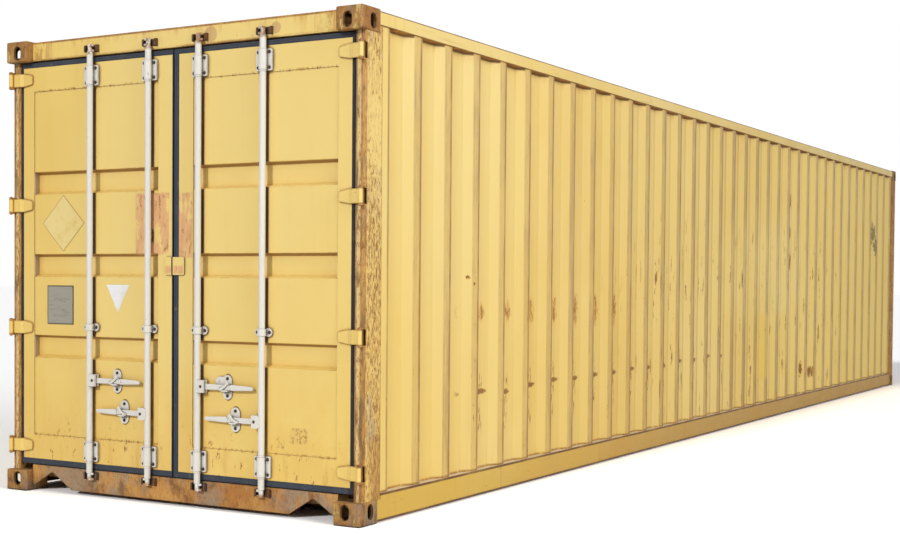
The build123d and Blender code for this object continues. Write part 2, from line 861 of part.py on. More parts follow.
def lock_plate(side):
    """Half of the lock plate that covers the middle gap."""
    mid_x, wide = span(left_seal_edge if side < 0 else -right_seal_edge, lock_plate_reach)
    with BuildPart() as half:
        with BuildSketch(door_view(face_y - seat_gap)) as outline:
            with Locations((side * mid_x, lock_plate_z)):
                Rectangle(wide, lock_plate_high)
            fillet(outline.vertices().group_by(Axis.X)[-1 if side > 0 else 0], lock_plate_round)
        extrude(amount=lock_plate_thick)
    return half.part


def keeper(x, z):
    """Two-pronged cam keeper welded to the header or the sill."""
    with BuildPart() as prongs:
        with BuildSketch(door_view(face_y)):
            with Locations((x, z)):
                Rectangle(2 * (keeper_gap + keeper_thick), keeper_high)
        extrude(amount=keeper_base)
        for at in (x - keeper_gap - keeper_thick, x + keeper_gap):
            with BuildSketch(Plane.YZ.offset(at)) as prong:
                with Locations((face_y, z)):
                    Rectangle(keeper_reach, keeper_high, align=(Align.MAX, Align.CENTER))
                fillet(prong.vertices().group_by(Axis.X)[0], keeper_round)
            extrude(amount=keeper_thick)
    return prongs.part


rods = {
    "left_outer": (-rod_outer_x, 1, handle_upper_z),
    "left_inner": (-rod_inner_x, -1, handle_lower_z),
    "right_inner": (rod_inner_x, 1, handle_upper_z),
    "right_outer": (rod_outer_x, -1, handle_lower_z),
}
hasp_rod = "right_inner"
bearing_base = (bracket_wide, bracket_high, bracket_plate)
guide_base = (guide_wide, guide_high, guide_plate)

for name, side in (("left", -1), ("right", 1)):
    own = {key: value for key, value in rods.items() if key.startswith(name)}
    save(door_frame(side), f"{name}_door_frame")
    save(door_panel(side), f"{name}_door_panel")
    save(door_gasket(side), f"{name}_door_gasket")
    save(Compound([hinge_blade(side, z) for z in hinge_heights]), f"{name}_hinge_blades")
    brackets = []
    for x, _, _ in own.values():
        for z in bracket_heights:
            bearing = (bearing_base, bracket_round, bracket_sleeve_high, bracket_bush_out)
            brackets.append(rod_bracket(x, z, *bearing))
        brackets.append(rod_bracket(x, guide_height, guide_base, guide_round, guide_sleeve_high, 0.0))
    save(Compound(brackets), f"{name}_rod_brackets")
    catches = [handle_catch(*value, key == hasp_rod) for key, value in own.items()]
    save(Compound(catches), f"{name}_handle_catches")
    save(lock_plate(side), f"{name}_lock_plate")

for name, (x, lever_side, z) in rods.items():
    save(locking_rod(x, lever_side, z), f"{name}_rod")
    save(handle(x, lever_side, z), f"{name}_handle")

save(Compound([keeper(x, cam_top_z) for x, _, _ in rods.values()]), "top_keepers")
save(Compound([keeper(x, cam_bottom_z) for x, _, _ in rods.values()]), "bottom_keepers")
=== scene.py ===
"""Finish, fittings and stage of a 40 ft dry freight container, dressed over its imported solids.

Metres, +Z up, X across the box and Y along it, with the doors at -Y.
"""

import json
import math
from itertools import product

import bmesh
import bpy
from bpy.props import FloatProperty, FloatVectorProperty, PointerProperty
from bpy.types import Operator, Panel, PropertyGroup
from mathutils import Matrix, Vector


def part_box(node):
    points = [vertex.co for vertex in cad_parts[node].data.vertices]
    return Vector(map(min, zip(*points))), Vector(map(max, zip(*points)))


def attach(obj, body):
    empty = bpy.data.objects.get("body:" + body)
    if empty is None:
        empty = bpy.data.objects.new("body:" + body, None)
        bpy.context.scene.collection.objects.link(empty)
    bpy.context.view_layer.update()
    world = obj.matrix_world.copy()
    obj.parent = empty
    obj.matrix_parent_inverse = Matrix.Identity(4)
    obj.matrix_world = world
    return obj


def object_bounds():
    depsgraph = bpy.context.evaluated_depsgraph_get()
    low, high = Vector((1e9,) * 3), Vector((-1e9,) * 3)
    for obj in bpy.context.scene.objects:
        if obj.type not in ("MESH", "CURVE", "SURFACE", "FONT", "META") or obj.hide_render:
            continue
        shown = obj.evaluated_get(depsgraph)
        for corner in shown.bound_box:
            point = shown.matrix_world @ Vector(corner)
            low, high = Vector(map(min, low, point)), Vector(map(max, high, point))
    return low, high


bl_info = {
    "name": "Freight container finish",
    "version": (1, 0, 0),
    "blender": (4, 5, 0),
    "location": "3D View > Sidebar > Container",
    "description": "Paint, rust, fittings and stage of a 40 ft dry freight container",
    "category": "Object",
}

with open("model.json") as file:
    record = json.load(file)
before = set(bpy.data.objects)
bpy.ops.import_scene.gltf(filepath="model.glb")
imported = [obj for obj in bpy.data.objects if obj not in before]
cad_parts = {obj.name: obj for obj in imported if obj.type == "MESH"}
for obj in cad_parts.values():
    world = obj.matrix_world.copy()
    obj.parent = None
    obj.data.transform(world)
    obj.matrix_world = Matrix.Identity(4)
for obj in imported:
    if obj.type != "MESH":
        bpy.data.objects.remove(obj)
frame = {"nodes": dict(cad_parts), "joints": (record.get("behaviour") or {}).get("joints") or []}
cad_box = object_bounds()
joints = {joint["name"]: joint for joint in frame["joints"]}

SIDES = {"left": -1, "right": 1}
RODS = ("left_outer", "left_inner", "right_inner", "right_outer")

# Tints that the finishes mix in, as display colours in 0 to 255; some stand for painted shade, shadow or
# highlight, as said where they are used.
TINTS = {
    "deep_yellow": (226, 184, 84), "rain_brown": (190, 140, 70),
    "slope_highlight": (250, 226, 150), "crest_ochre": (214, 176, 92), "hollow_shade": (210, 168, 86),
    "slope_foot": (172, 126, 60), "near_ochre": (212, 172, 86), "far_yellow": (255, 224, 132),
    "line_brown": (126, 78, 20), "run_brown": (172, 116, 50), "soil_brown": (156, 106, 36),
    "dust": (178, 148, 96), "rail_shadow": (104, 66, 30),
    "bleached": (244, 222, 148), "fresh_paint": (240, 204, 92), "smudge": (84, 74, 56),
    "run_stain": (206, 146, 62), "scrape": (124, 66, 14),
    "bottom_rail": (232, 220, 168), "front_frame": (245, 235, 215), "rail_scuff": (168, 118, 58),
    "rail_soil": (176, 128, 66), "rail_seam": (96, 56, 16), "ledge_dust_and_highlight": (232, 222, 200),
    "rubbed_ring": (186, 138, 98),
    "post_ochre": (176, 122, 52), "post_bare": (190, 174, 140), "post_speck": (104, 64, 22),
    "stripe_dark": (92, 56, 24), "stripe_light": (180, 122, 52), "stripe_fleck": (120, 74, 30),
    "post_highlight": (232, 206, 146),
    "rust_ochre": (184, 138, 74), "rust_grey": (132, 122, 108), "rust_brown": (98, 60, 24),
    "rust_rim": (60, 38, 20), "hole_shade": (20, 15, 11),
    "recess_shade": (214, 160, 70), "fold_shade": (140, 88, 38), "door_joint_shade": (58, 36, 18),
    "rod_shadow": (74, 44, 20), "catch_shade": (44, 28, 16), "door_foot": (224, 178, 82),
    "door_scuff": (214, 178, 104), "primer_orange": (206, 150, 100), "blade_gap_shade": (150, 96, 40),
    "gear_grey": (206, 202, 192), "gear_joint_shade": (44, 34, 26),
    "rubber_grey": (88, 92, 98), "seal_gap_shade": (28, 25, 24), "rubber_dust": (126, 116, 96),
    "board_grain": (104, 72, 46), "board_seam": (40, 28, 20), "wheel_mark": (70, 52, 38),
    "plate_scratch": (112, 106, 92), "plate_rim": (66, 60, 50), "decal_worn": (214, 208, 192),
    "placard_edge": (178, 136, 70), "placard_edge_worn": (214, 178, 96),
    "placard_pale": (236, 212, 140), "placard_worn": (226, 194, 112),
}

# The side walls' folds: where the first starts, their pitch, and how far out their crests are.
WALL_START = 5.815
WALL_PITCH = 0.33434
WALL_CREST_X = 1.2035
# Worn spots and the dark smudge of the right wall: middle and half sizes, along and up.
WALL_SPOTS = (
    (-4.914, 1.253, 0.020, 0.014),
    (-4.865, 1.214, 0.018, 0.012),
    (-1.771, 2.055, 0.030, 0.032),
    (-1.420, 2.062, 0.026, 0.030),
    (-1.069, 2.070, 0.026, 0.026),
    (-1.110, 1.290, 0.030, 0.300),
    (-0.740, 1.360, 0.020, 0.110),
    (-1.440, 1.430, 0.020, 0.080),
    (1.669, 2.020, 0.040, 0.100),
    (1.680, 1.720, 0.030, 0.070),
    (1.685, 1.427, 0.040, 0.110),
    (2.425, 0.345, 0.075, 0.070),
    (2.080, 0.400, 0.035, 0.100),
)
WALL_SMUDGE = ((5.06, 1.80, 0.10, 0.16), (5.16, 1.66, 0.08, 0.13))
# Brown seams of the long rails: low and high edge.
TOP_RAIL_SEAMS = ((2.577, 2.585), (2.511, 2.515))
BOTTOM_RAIL_SEAMS = ((0.137, 0.150), (0.010, 0.018))
# Rubbed rings on the header: place across and radius, and their height.
HEADER_RINGS = ((0.235, 0.045), (0.66, 0.032))
HEADER_RING_Z = 2.528
# Marks on the leaves: low and high edge across, then up.
RUBBED_LABELS = {"left": [(-0.284, -0.045, 1.362, 1.699)], "right": [(0.0, 0.115, 1.345, 1.695)]}
LEAF_SCUFFS = {"left": [], "right": [(0.765, 0.865, 0.390, 0.465)]}

# Plates and films on the left leaf, across and up.
PLATE_MIDDLE = (-0.844, 1.0785)
PLATE_HALF = (0.100, 0.1105)
PLATE_RIVETS = ((-0.936, -0.752), (0.977, 1.078, 1.180))
TRIANGLE = ((-0.496, 1.197), (-0.328, 1.197), (-0.412, 1.041))
PLACARD_MIDDLE = (-0.822, 1.544)
# Gap between the leaf and the plates that are bolted to it.
SEAT = 0.0003
# Middle line of a handle's clasp, from the middle of the catch, away from the rod and up.
CLASP_PATH = ((-0.034, -0.012), (-0.012, -0.004), (0.010, 0.012), (0.022, 0.030))
# Rows of floor screws: their pitch, and the screws' places as shares of half the floor's width.
SCREW_PITCH = 0.425
SCREW_SHARES = (-0.97, -0.75, -0.52, -0.45, -0.22, -0.03, 0.03, 0.22, 0.45, 0.52, 0.75, 0.97)

# Stage: the floor's size and how much brighter the camera sees it, then the lamps and the camera.
FLOOR_SIZE = 150.0
FLOOR_LIFT = 2.1
KEY_DIRECTION = Vector((0.02, 0.90, -0.43))
SIDE_DIRECTION = Vector((-0.86, 0.02, -0.50))
CORNER_PLACE = Vector((9.0, -7.5, 5.0))
CORNER_TARGET = Vector((1.2, -4.5, 1.2))
CAMERA_PLACE = (5.0001, -12.1134, 1.2317)
CAMERA_YAW, CAMERA_PITCH, CAMERA_ROLL = 31.379, -1.584, 0.382
CAMERA_SHIFT = (70 / 900, 53 / 900)


def linear(red, green, blue):
    """Linear colour of a display colour given in 0 to 255."""
    channels = [value / 255 for value in (red, green, blue)]
    return tuple(c / 12.92 if c <= 0.04045 else ((c + 0.055) / 1.055) ** 2.4 for c in channels)


def colour_property(name, description, *display):
    """A colour that the panel offers."""
    return FloatVectorProperty(
        name=name, description=description, default=linear(*display), subtype="COLOR", min=0.0, max=1.0,
    )


def number_property(name, description, default, low=0.0, unit="NONE"):
    """A number that the panel offers."""
    return FloatProperty(name=name, description=description, default=default, min=low, unit=unit)


def length_property(name, description, default):
    """A length that the panel offers."""
    return number_property(name, description, default, unit="LENGTH")


class ContainerColours(PropertyGroup):
    """Colours of the container's finishes."""

    paint: colour_property("Paint", "Yellow paint of the box", 238, 205, 114)
    faded: colour_property("Faded paint", "Paint where sun and rain have bleached it", 238, 217, 150)
    inside: colour_property("Inside paint", "Paint on the inner faces", 186, 186, 178)
    rust_dark: colour_property("Dark rust", "Old rust in corners and deep scrapes", 88, 54, 32)
    rust_mid: colour_property("Rust", "Rust on steel that has lost its paint", 156, 104, 48)
    rust_light: colour_property("Light rust", "Thin rust that stains the paint", 200, 142, 64)
    grime: colour_property("Grime", "Dirt that rain leaves on the paint", 150, 112, 62)
    gear: colour_property("Door gear", "Off-white paint of the rods and their gear", 226, 223, 215)
    rubber: colour_property("Rubber", "Door seal", 50, 57, 68)
    board: colour_property("Plywood", "Floor boards", 138, 102, 70)
    primer: colour_property("Primer", "Pinkish primer where a label was rubbed off", 226, 170, 122)
    decal: colour_property("Decal", "White sticker film", 240, 240, 238)
    plate: colour_property("Data plate", "Bare aluminium plate", 160, 156, 142)


class ContainerSizes(PropertyGroup):
    """Sizes of the small fittings."""

    bearing_low: length_property("Lower bearing", "Height of the rods' lower bearings", 0.257)
    bearing_high: length_property("Upper bearing", "Height of the rods' upper bearings", 2.365)
    guide: length_property("Guide", "Height of the rods' guides", 0.957)
    bearing_bolt_x: length_property("Bearing bolt, across", "From the rod's middle to a bolt", 0.0355)
    bearing_bolt_z: length_property("Bearing bolt, up", "From the bearing's middle to a bolt", 0.040)
    bearing_plate: length_property("Bearing base", "Thickness of the bearings' bases", 0.016)
    guide_bolt_x: length_property("Guide bolt, across", "From the rod's middle to a guide's bolt", 0.039)
    guide_plate: length_property("Guide base", "Thickness of the guides' bases", 0.010)
    catch_reach: length_property("Catch reach", "From the rod's middle to its handle's catch", 0.185)
    catch_bolt_z: length_property("Catch bolt, up", "From the catch's middle to a bolt", 0.046)
    catch_plate: length_property("Catch plate", "Thickness of the catches' plates", 0.006)
    bolt_radius: length_property("Bolt radius", "Radius of a bolt's head", 0.0085)
    bolt_height: length_property("Bolt height", "Height of a bolt's head", 0.0065)
    pin_radius: length_property("Pin radius", "Radius of a handle pin's head", 0.0085)
    pin_height: length_property("Pin height", "Height of a handle pin's head", 0.003)
    door_face: length_property("Door face", "From the end of the box to the face of the leaves", 0.052)
    panel_setback: length_property("Panel setback", "From the face of the leaf to its panel", 0.004)


class ContainerStage(PropertyGroup):
    """Floor, light and camera."""

    floor_colour: colour_property("Floor", "Pale studio floor", 232, 232, 232)
    sky_strength: number_property("Sky", "Strength of the even light", 0.22)
    key_strength: number_property("Key", "Strength of the light on the doors", 1.68)
    side_strength: number_property("Side", "Strength of the light on the side", 0.6)
    corner_strength: number_property("Corner", "Power of the light near the corner", 370.0)
    lens: number_property("Lens", "Focal length in millimetres", 57.56, low=1.0)


class Value:
    """Number that varies over a surface: a node's output with arithmetic, where | gives the larger."""

    def __init__(self, finish, socket):
        self.finish = finish
        self.socket = socket

    def __add__(self, other):
        return self.finish.math("ADD", self, other)

    def __sub__(self, other):
        return self.finish.math("SUBTRACT", self, other)

    def __rsub__(self, other):
        return self.finish.math("SUBTRACT", other, self)

    def __mul__(self, other):
        return self.finish.math("MULTIPLY", self, other)

    def __truediv__(self, other):
        return self.finish.math("DIVIDE", self, other)

    def __or__(self, other):
        return self.finish.math("MAXIMUM", self, other)

    def __abs__(self):
        return self.finish.math("ABSOLUTE", self)

    def ramp(self, low, high):
        """Smooth step from 0 at low to 1 at high."""
        inputs = {"Value": self, "From Min": low, "From Max": high}
        return self.finish.value("ShaderNodeMapRange", inputs, interpolation_type="SMOOTHSTEP")

    def within(self, low, high, soft=0.004):
        """1 between low and high, with soft ends."""
        return self.ramp(low - soft, low + soft) * self.ramp(high + soft, high - soft)

    def away(self, centre, half):
        """Square of the distance to a centre, in half sizes."""
        distance = (self - centre) / half
        return distance * distance


class Finish:
    """One material being made: short calls for its nodes, and the colour that its coats add up to."""

    def __init__(self, name, roughness, metallic=0.0):
        self.material = bpy.data.materials.new(name)
        self.material.use_nodes = True
        self.tree = self.material.node_tree
        self.shader = self.tree.nodes["Principled BSDF"]
        self.shader.inputs["Roughness"].default_value = roughness
        self.shader.inputs["Metallic"].default_value = metallic
        coordinates = self.tree.nodes.new("ShaderNodeTexCoord").outputs
        self.place = coordinates["Object"]
        self.x, self.y, self.z = self.parts(self.place)
        self.facing_x, self.facing_y, self.facing_z = self.parts(coordinates["Normal"])
        self.normal = self.tree.nodes.new("ShaderNodeNewGeometry").outputs["Normal"]
        self.colour = None

    def add(self, kind, inputs, **settings):
        """A node with its settings, and its inputs set or linked."""
        node = self.tree.nodes.new(kind)
        for key, value in settings.items():
            setattr(node, key, value)
        for key, value in inputs.items():
            if isinstance(value, Value):
                value = value.socket
            if isinstance(value, bpy.types.NodeSocket):
                self.tree.links.new(value, node.inputs[key])
            else:
                node.inputs[key].default_value = value
        return node

    def value(self, kind, inputs, output=0, **settings):
        """A new node's output as a value."""
        return Value(self, self.add(kind, inputs, **settings).outputs[output])

    def parts(self, vector):
        """The three values of a vector."""
        return [Value(self, part) for part in self.add("ShaderNodeSeparateXYZ", {0: vector}).outputs]

    def math(self, operation, *values):
        """Result of a Math node."""
        return self.value("ShaderNodeMath", dict(enumerate(values)), operation=operation)

    def noise(self, scale, across=1.0, along=1.0, up=1.0, detail=5.0, rough=0.55, shift=(0.0, 0.0, 0.0)):
        """Noise from 0 to 1 over the object's own coordinates, drawn out where a factor is below 1."""
        mapping = {"Vector": self.place, "Scale": (across, along, up), "Location": shift}
        place = self.add("ShaderNodeMapping", mapping).outputs[0]
        inputs = {"Vector": place, "Scale": scale, "Detail": detail, "Roughness": rough}
        return self.value("ShaderNodeTexNoise", inputs)

    def flecks(self, scale, low, high, across=1.0, along=1.0, up=0.45):
        """Scattered flecks of a noise that passes its threshold."""
        return self.noise(scale, across, along, up, detail=7.0, rough=0.7).ramp(low, high)

    def edges(self, radius, soft):
        """1 along edges and creases."""
        bevel = self.add("ShaderNodeBevel", {"Radius": radius}, samples=4).outputs[0]
        both = {0: bevel, 1: self.normal}
        return self.value("ShaderNodeVectorMath", both, "Value", operation="DOT_PRODUCT").ramp(
            1.0 - soft / 10, 1.0 - soft,
        )

    def creases(self, distance):
        """1 deep in corners and gaps."""
        return 1.0 - self.value("ShaderNodeAmbientOcclusion", {"Distance": distance}, "AO", samples=6)

    def mix(self, factor, first, second, mode="MIX"):
        """Two colours mixed by a factor."""
        inputs = {0: factor, 6: colour_input(first), 7: colour_input(second)}
        return self.add("ShaderNodeMix", inputs, data_type="RGBA", blend_type=mode).outputs[2]

    def coat(self, factor, colour, mode="MIX"):
        """Lay a colour over those that are there, as far as the factor says."""
        self.colour = self.mix(factor, self.colour, colour, mode)

    def bump(self, height, distance, strength):
        """Surface relief from a height."""
        inputs = {"Height": height, "Distance": distance, "Strength": strength}
        self.tree.links.new(self.add("ShaderNodeBump", inputs).outputs[0], self.shader.inputs["Normal"])

    def done(self, roughness=None):
        """Set the colour, and a roughness that varies, and give the material."""
        self.tree.links.new(self.colour, self.shader.inputs["Base Color"])
        if roughness is not None:
            self.tree.links.new(roughness.socket, self.shader.inputs["Roughness"])
        return self.material


def colour_input(colour):
    """A colour for a node: a name from the tints or the panel, a linear colour, or a node's output."""
    if isinstance(colour, bpy.types.NodeSocket):
        return colour
    if isinstance(colour, str):
        panel = bpy.context.scene.container_colours
        colour = linear(*TINTS[colour]) if colour in TINTS else getattr(panel, colour)
    return (*colour, 1.0)


def rust_colour(finish):
    """Rust that runs from dark brown through mid brown to orange."""
    coarse = finish.noise(9.0, detail=6.0, rough=0.65).ramp(0.35, 0.65)
    fine = finish.noise(110.0, detail=4.0, rough=0.6).ramp(0.45, 0.62)
    return finish.mix(fine * 0.7, finish.mix(coarse, "rust_mid", "rust_light"), "rust_dark")


def yellow_paint(finish, fade, streaks):
    """Yellow paint, bleached and deepened in soft patches and streaked by rain."""
    patches = finish.noise(0.55, up=0.5, detail=3.0).ramp(0.42, 0.68)
    colour = finish.mix(patches * fade, "paint", "faded")
    deep = finish.noise(1.1, up=0.6, detail=4.0, shift=(3.0, 5.0, 7.0)).ramp(0.48, 0.75)
    colour = finish.mix(deep * 0.45, colour, "deep_yellow")
    runs = finish.noise(22.0, up=0.05, detail=6.0, rough=0.6).ramp(0.5, 0.78)
    broad = finish.noise(2.2, up=0.3, detail=4.0).ramp(0.4, 0.7)
    return finish.mix(runs * broad * streaks, colour, "rain_brown")


def inside_paint(finish):
    """Light grey paint of the inner faces, with scuffs."""
    return finish.mix(finish.flecks(7.0, 0.55, 0.75, along=0.4, up=1.0) * 0.4, "inside", "grime")


def painted(name, roughness, fade, streaks):
    """A finish that starts with the yellow paint."""
    paint = Finish(name, roughness)
    paint.colour = yellow_paint(paint, fade, streaks)
    return paint


def weathered(paint, worn, facing=None):
    """The painted material: rust where it is worn, grey where facing is below 0, satin where it is whole."""
    paint.coat(worn, rust_colour(paint))
    if facing is not None:
        paint.coat(facing.ramp(0.1, -0.1), inside_paint(paint))
    patchy = paint.noise(5.0, detail=3.0).ramp(0.3, 0.7)
    return paint.done(worn * 0.35 + (patchy * 0.12 + 0.42))


def wall_finish(name, side, marked):
    """Side wall paint: painted highlight on the slopes, painted shade in the hollows and under the top rail,
    a brown line down each fold, partly rubbed dirt and partly painted shade, and, on one side, the rows of
    scrapes.
    """
    paint = painted(name, 0.5, fade=0.4, streaks=0.2)
    bay = (paint.y + WALL_START) / WALL_PITCH
    phase = paint.math("FRACT", bay)
    number = paint.math("FLOOR", bay)
    chance = paint.value("ShaderNodeTexWhiteNoise", {"W": number}, "Value", noise_dimensions="1D")
    folded = paint.y.ramp(-WALL_START - 0.02, -WALL_START)
    depth = abs(paint.x)
    crest = depth.ramp(WALL_CREST_X - 0.003, WALL_CREST_X) * folded
    # Painted highlight on the slopes that face the doors.
    paint.coat(phase.within(0.585, 0.780, 0.01) * 0.2, "slope_highlight")
    paint.coat(crest * 0.5, "crest_ochre")
    # Painted shade in the hollow just past each crest's far edge.
    paint.coat(phase.ramp(0.50, 0.18) * phase.ramp(0.02, 0.05) * 0.3, "hollow_shade")
    paint.coat(phase.within(0.50, 0.575, 0.02) * paint.y.ramp(-4.0, 1.0) * 0.45, "slope_foot")
    rubbed = paint.flecks(26.0, 0.40, 0.58, up=0.12)
    patchy = paint.flecks(1.6, 0.42, 0.66, up=0.6)
    wander = paint.noise(9.0, up=0.3, detail=3.0) * 0.014 + 0.934
    # Brown line at each crest's far edge: partly rubbed dirt, partly painted shade where the fold drops away.
    far_line = (phase - wander).ramp(0.0, 0.018) | phase.ramp(0.04, 0.01)
    near_line = phase.within(0.786, 0.797, 0.005)
    distant = paint.y.ramp(-5.0, 2.0) * 0.35 + 0.45
    paint.coat(paint.y.within(-3.9, -1.6, 0.7) * 0.14, "near_ochre")
    paint.coat(paint.y.ramp(0.0, 2.4) * 0.70, "far_yellow")
    lines = far_line * (rubbed * 0.4 + distant) | near_line * rubbed * patchy * 0.6
    paint.coat(folded * lines, "line_brown")
    beside_line = phase.ramp(0.86, 0.94) | phase.ramp(0.10, 0.04)
    runs = beside_line * folded * paint.flecks(34.0, 0.47, 0.60, up=0.10)
    paint.coat(runs * (patchy * 0.5 + 0.25), "run_brown")
    soiled = paint.y.ramp(-4.5, 1.0) * 0.5 + 0.08
    paint.coat(crest * soiled * (rubbed * 0.5 + 0.5), "soil_brown")
    paint.coat(crest * patchy * (rubbed * 0.5 + 0.1), "dust")
    worn = crest * paint.flecks(46.0, 0.62, 0.66, up=0.3) * paint.z.ramp(1.9, 0.5) * 0.9
    worn = worn | paint.flecks(21.0, 0.72, 0.735, up=0.4) * 0.9
    paint.coat(paint.z.ramp(2.44, 2.50) * paint.flecks(16.0, 0.4, 0.7, up=0.12) * 0.4, "rust_light")
    # Painted shadow of the top rail along the top of the wall's hollows.
    rail_shadow = paint.z.ramp(2.496, 2.503) * depth.ramp(WALL_CREST_X, 1.200)
    paint.coat(rail_shadow * 0.85, "rail_shadow")
    worn = worn | paint.z.ramp(0.166, 0.154) * paint.flecks(30.0, 0.30, 0.50) * 0.9
    if marked:
        worn = wall_marks(paint, worn, phase, chance)
    paint.bump(paint.noise(300.0, detail=2.0) * 0.02 + paint.noise(1.6, detail=3.0), 0.004, 0.5)
    return weathered(paint, worn, paint.facing_x * float(side))


def blot(paint, places, ragged):
    """1 inside ragged ellipses, each given by its middle and half sizes along and up."""
    total = None
    for y, z, half_y, half_z in places:
        reach = paint.y.away(y, half_y) + paint.z.away(z, half_z)
        spot = (ragged * 5.0 + reach).ramp(3.15, 2.85)
        total = spot if total is None else total | spot
    return total


def wall_marks(paint, worn, phase, chance):
    """Scrapes in rows, run stains, spots, a bleached patch and fresh paint; gives where it is worn."""
    ragged = paint.noise(46.0, up=0.4, detail=7.0, rough=0.8)
    streaky = paint.noise(60.0, up=1.6, detail=6.0, rough=0.8)
    above = paint.z - (chance * 0.03 + (paint.y * 0.008 + 0.607))
    length = chance * 0.12 + 0.15
    reach = streaky * 4.0 + (phase.away(0.28, length) + above.away(0.0, 0.018))
    dash = reach.ramp(2.85, 2.55) * paint.y.within(-5.0, -0.3, 0.05)
    drip = phase.within(0.20, 0.34, 0.03) * above.within(-0.22, 0.10, 0.05)
    drip = drip * paint.flecks(60.0, 0.53, 0.57, up=0.2) * paint.y.within(-5.0, 1.2, 0.05)
    cracks = paint.flecks(30.0, 0.60, 0.64, up=0.10) * paint.z.within(0.25, 1.6, 0.3)
    cracks = cracks * paint.y.within(-2.4, 3.4, 0.8)
    tall = paint.y.ramp(-5.0, -2.6) * 0.09 + 0.06
    reach = ragged * 5.0 + (phase.away(0.30, 0.16) + paint.z.away(1.05, tall))
    scarred = paint.y.within(-5.0, -2.4, 0.05)
    bleached = paint.y.within(-0.3, 2.0, 0.4) * paint.z.within(0.95, 1.75, 0.25)
    paint.coat(bleached * paint.flecks(3.0, 0.3, 0.6, up=0.5) * 0.4, "bleached")
    fresh = paint.y.within(0.25, 1.6, 0.04) * paint.z.within(0.36, 0.95, 0.03)
    paint.coat(fresh * chance.ramp(0.25, 0.4) * 0.5, "fresh_paint")
    paint.coat(blot(paint, WALL_SMUDGE, ragged) * 0.75, "smudge")
    paint.coat(reach.ramp(3.4, 2.7) * scarred * 0.75, "run_stain")
    scraped = dash | drip | cracks
    paint.coat(scraped * 0.92, "scrape")
    core = reach.ramp(2.7, 2.5) * scarred * 0.9
    return worn | scraped * 0.4 | core | blot(paint, WALL_SPOTS, ragged)


def rail_finish(name, tone, rust, seams=()):
    """Paint of the long rails and the front end, rubbed along its edges and brown along its seams."""
    paint = painted(name, 0.5, fade=0.4, streaks=0.3)
    paint.coat(1.0, tone, "MULTIPLY")
    rubbed = paint.edges(0.008, 0.10) * (paint.flecks(9.0, 0.42, 0.6, along=0.25, up=1.0) * 0.7 + 0.15)
    dots = paint.flecks(34.0, 0.68 - 0.04 * rust, 0.72 - 0.04 * rust, along=0.5, up=1.0)
    paint.coat(paint.flecks(3.0, 0.5, 0.75, along=0.3, up=1.0) * (0.35 * rust), "rust_light")
    paint.coat(paint.flecks(12.0, 0.56, 0.70, along=0.12, up=1.6) * (0.45 * rust), "rail_scuff")
    paint.coat(paint.y.ramp(-5.0, -1.0) * paint.z.ramp(0.4, 0.2) * 0.5, "rail_soil")
    streaky = paint.flecks(14.0, 0.30, 0.55, along=0.2, up=1.0)
    for low, high in seams:
        paint.coat(paint.z.within(low, high, 0.002) * (streaky * 0.4 + 0.6), "rail_seam")
    # Faces that look up are paler: dust, and partly a painted highlight.
    paint.coat(paint.facing_z.ramp(0.5, 0.8) * 0.9, "ledge_dust_and_highlight")
    under = paint.facing_z.ramp(-0.5, -0.8)
    inward = (paint.facing_x * paint.math("SIGN", paint.x)).ramp(-0.5, -0.8)
    worn = rubbed * (0.9 * min(1.0, rust)) | dots * 0.8 | under | inward * paint.z.ramp(0.3, 0.2)
    paint.bump(paint.noise(40.0, detail=4.0), 0.0015, 0.4)
    return weathered(paint, worn)


def header_finish():
    """Header paint with rust running down from its top edge and from the castings."""
    paint = painted("header_paint", 0.5, fade=0.3, streaks=0.3)
    width = abs(paint.x)
    runs = paint.flecks(16.0, 0.48, 0.66, up=0.1)
    stain = runs * (width.ramp(0.70, 1.06) * 0.8 + paint.z.ramp(2.52, 2.585) * 0.7)
    paint.coat(paint.math("MINIMUM", stain, 1.0) * 0.85, "rust_light")
    for x, radius in HEADER_RINGS:
        ring = paint.x.away(x, radius) + paint.z.away(HEADER_RING_Z, radius)
        paint.coat(ring.ramp(1.1, 0.7) * 0.55, "rubbed_ring")
    ends = width.ramp(0.86, 1.06) * paint.flecks(18.0, 0.46, 0.58)
    top_line = paint.z.ramp(2.570, 2.578) * 0.9 | ends * 0.8
    foot_line = paint.z.ramp(2.492, 2.482) * paint.flecks(12.0, 0.3, 0.6, across=0.4, up=1.0)
    worn = top_line | foot_line * 0.9 | paint.flecks(30.0, 0.66, 0.70, up=0.5) * 0.8
    paint.bump(paint.noise(40.0, detail=4.0), 0.0015, 0.4)
    return weathered(paint, worn)


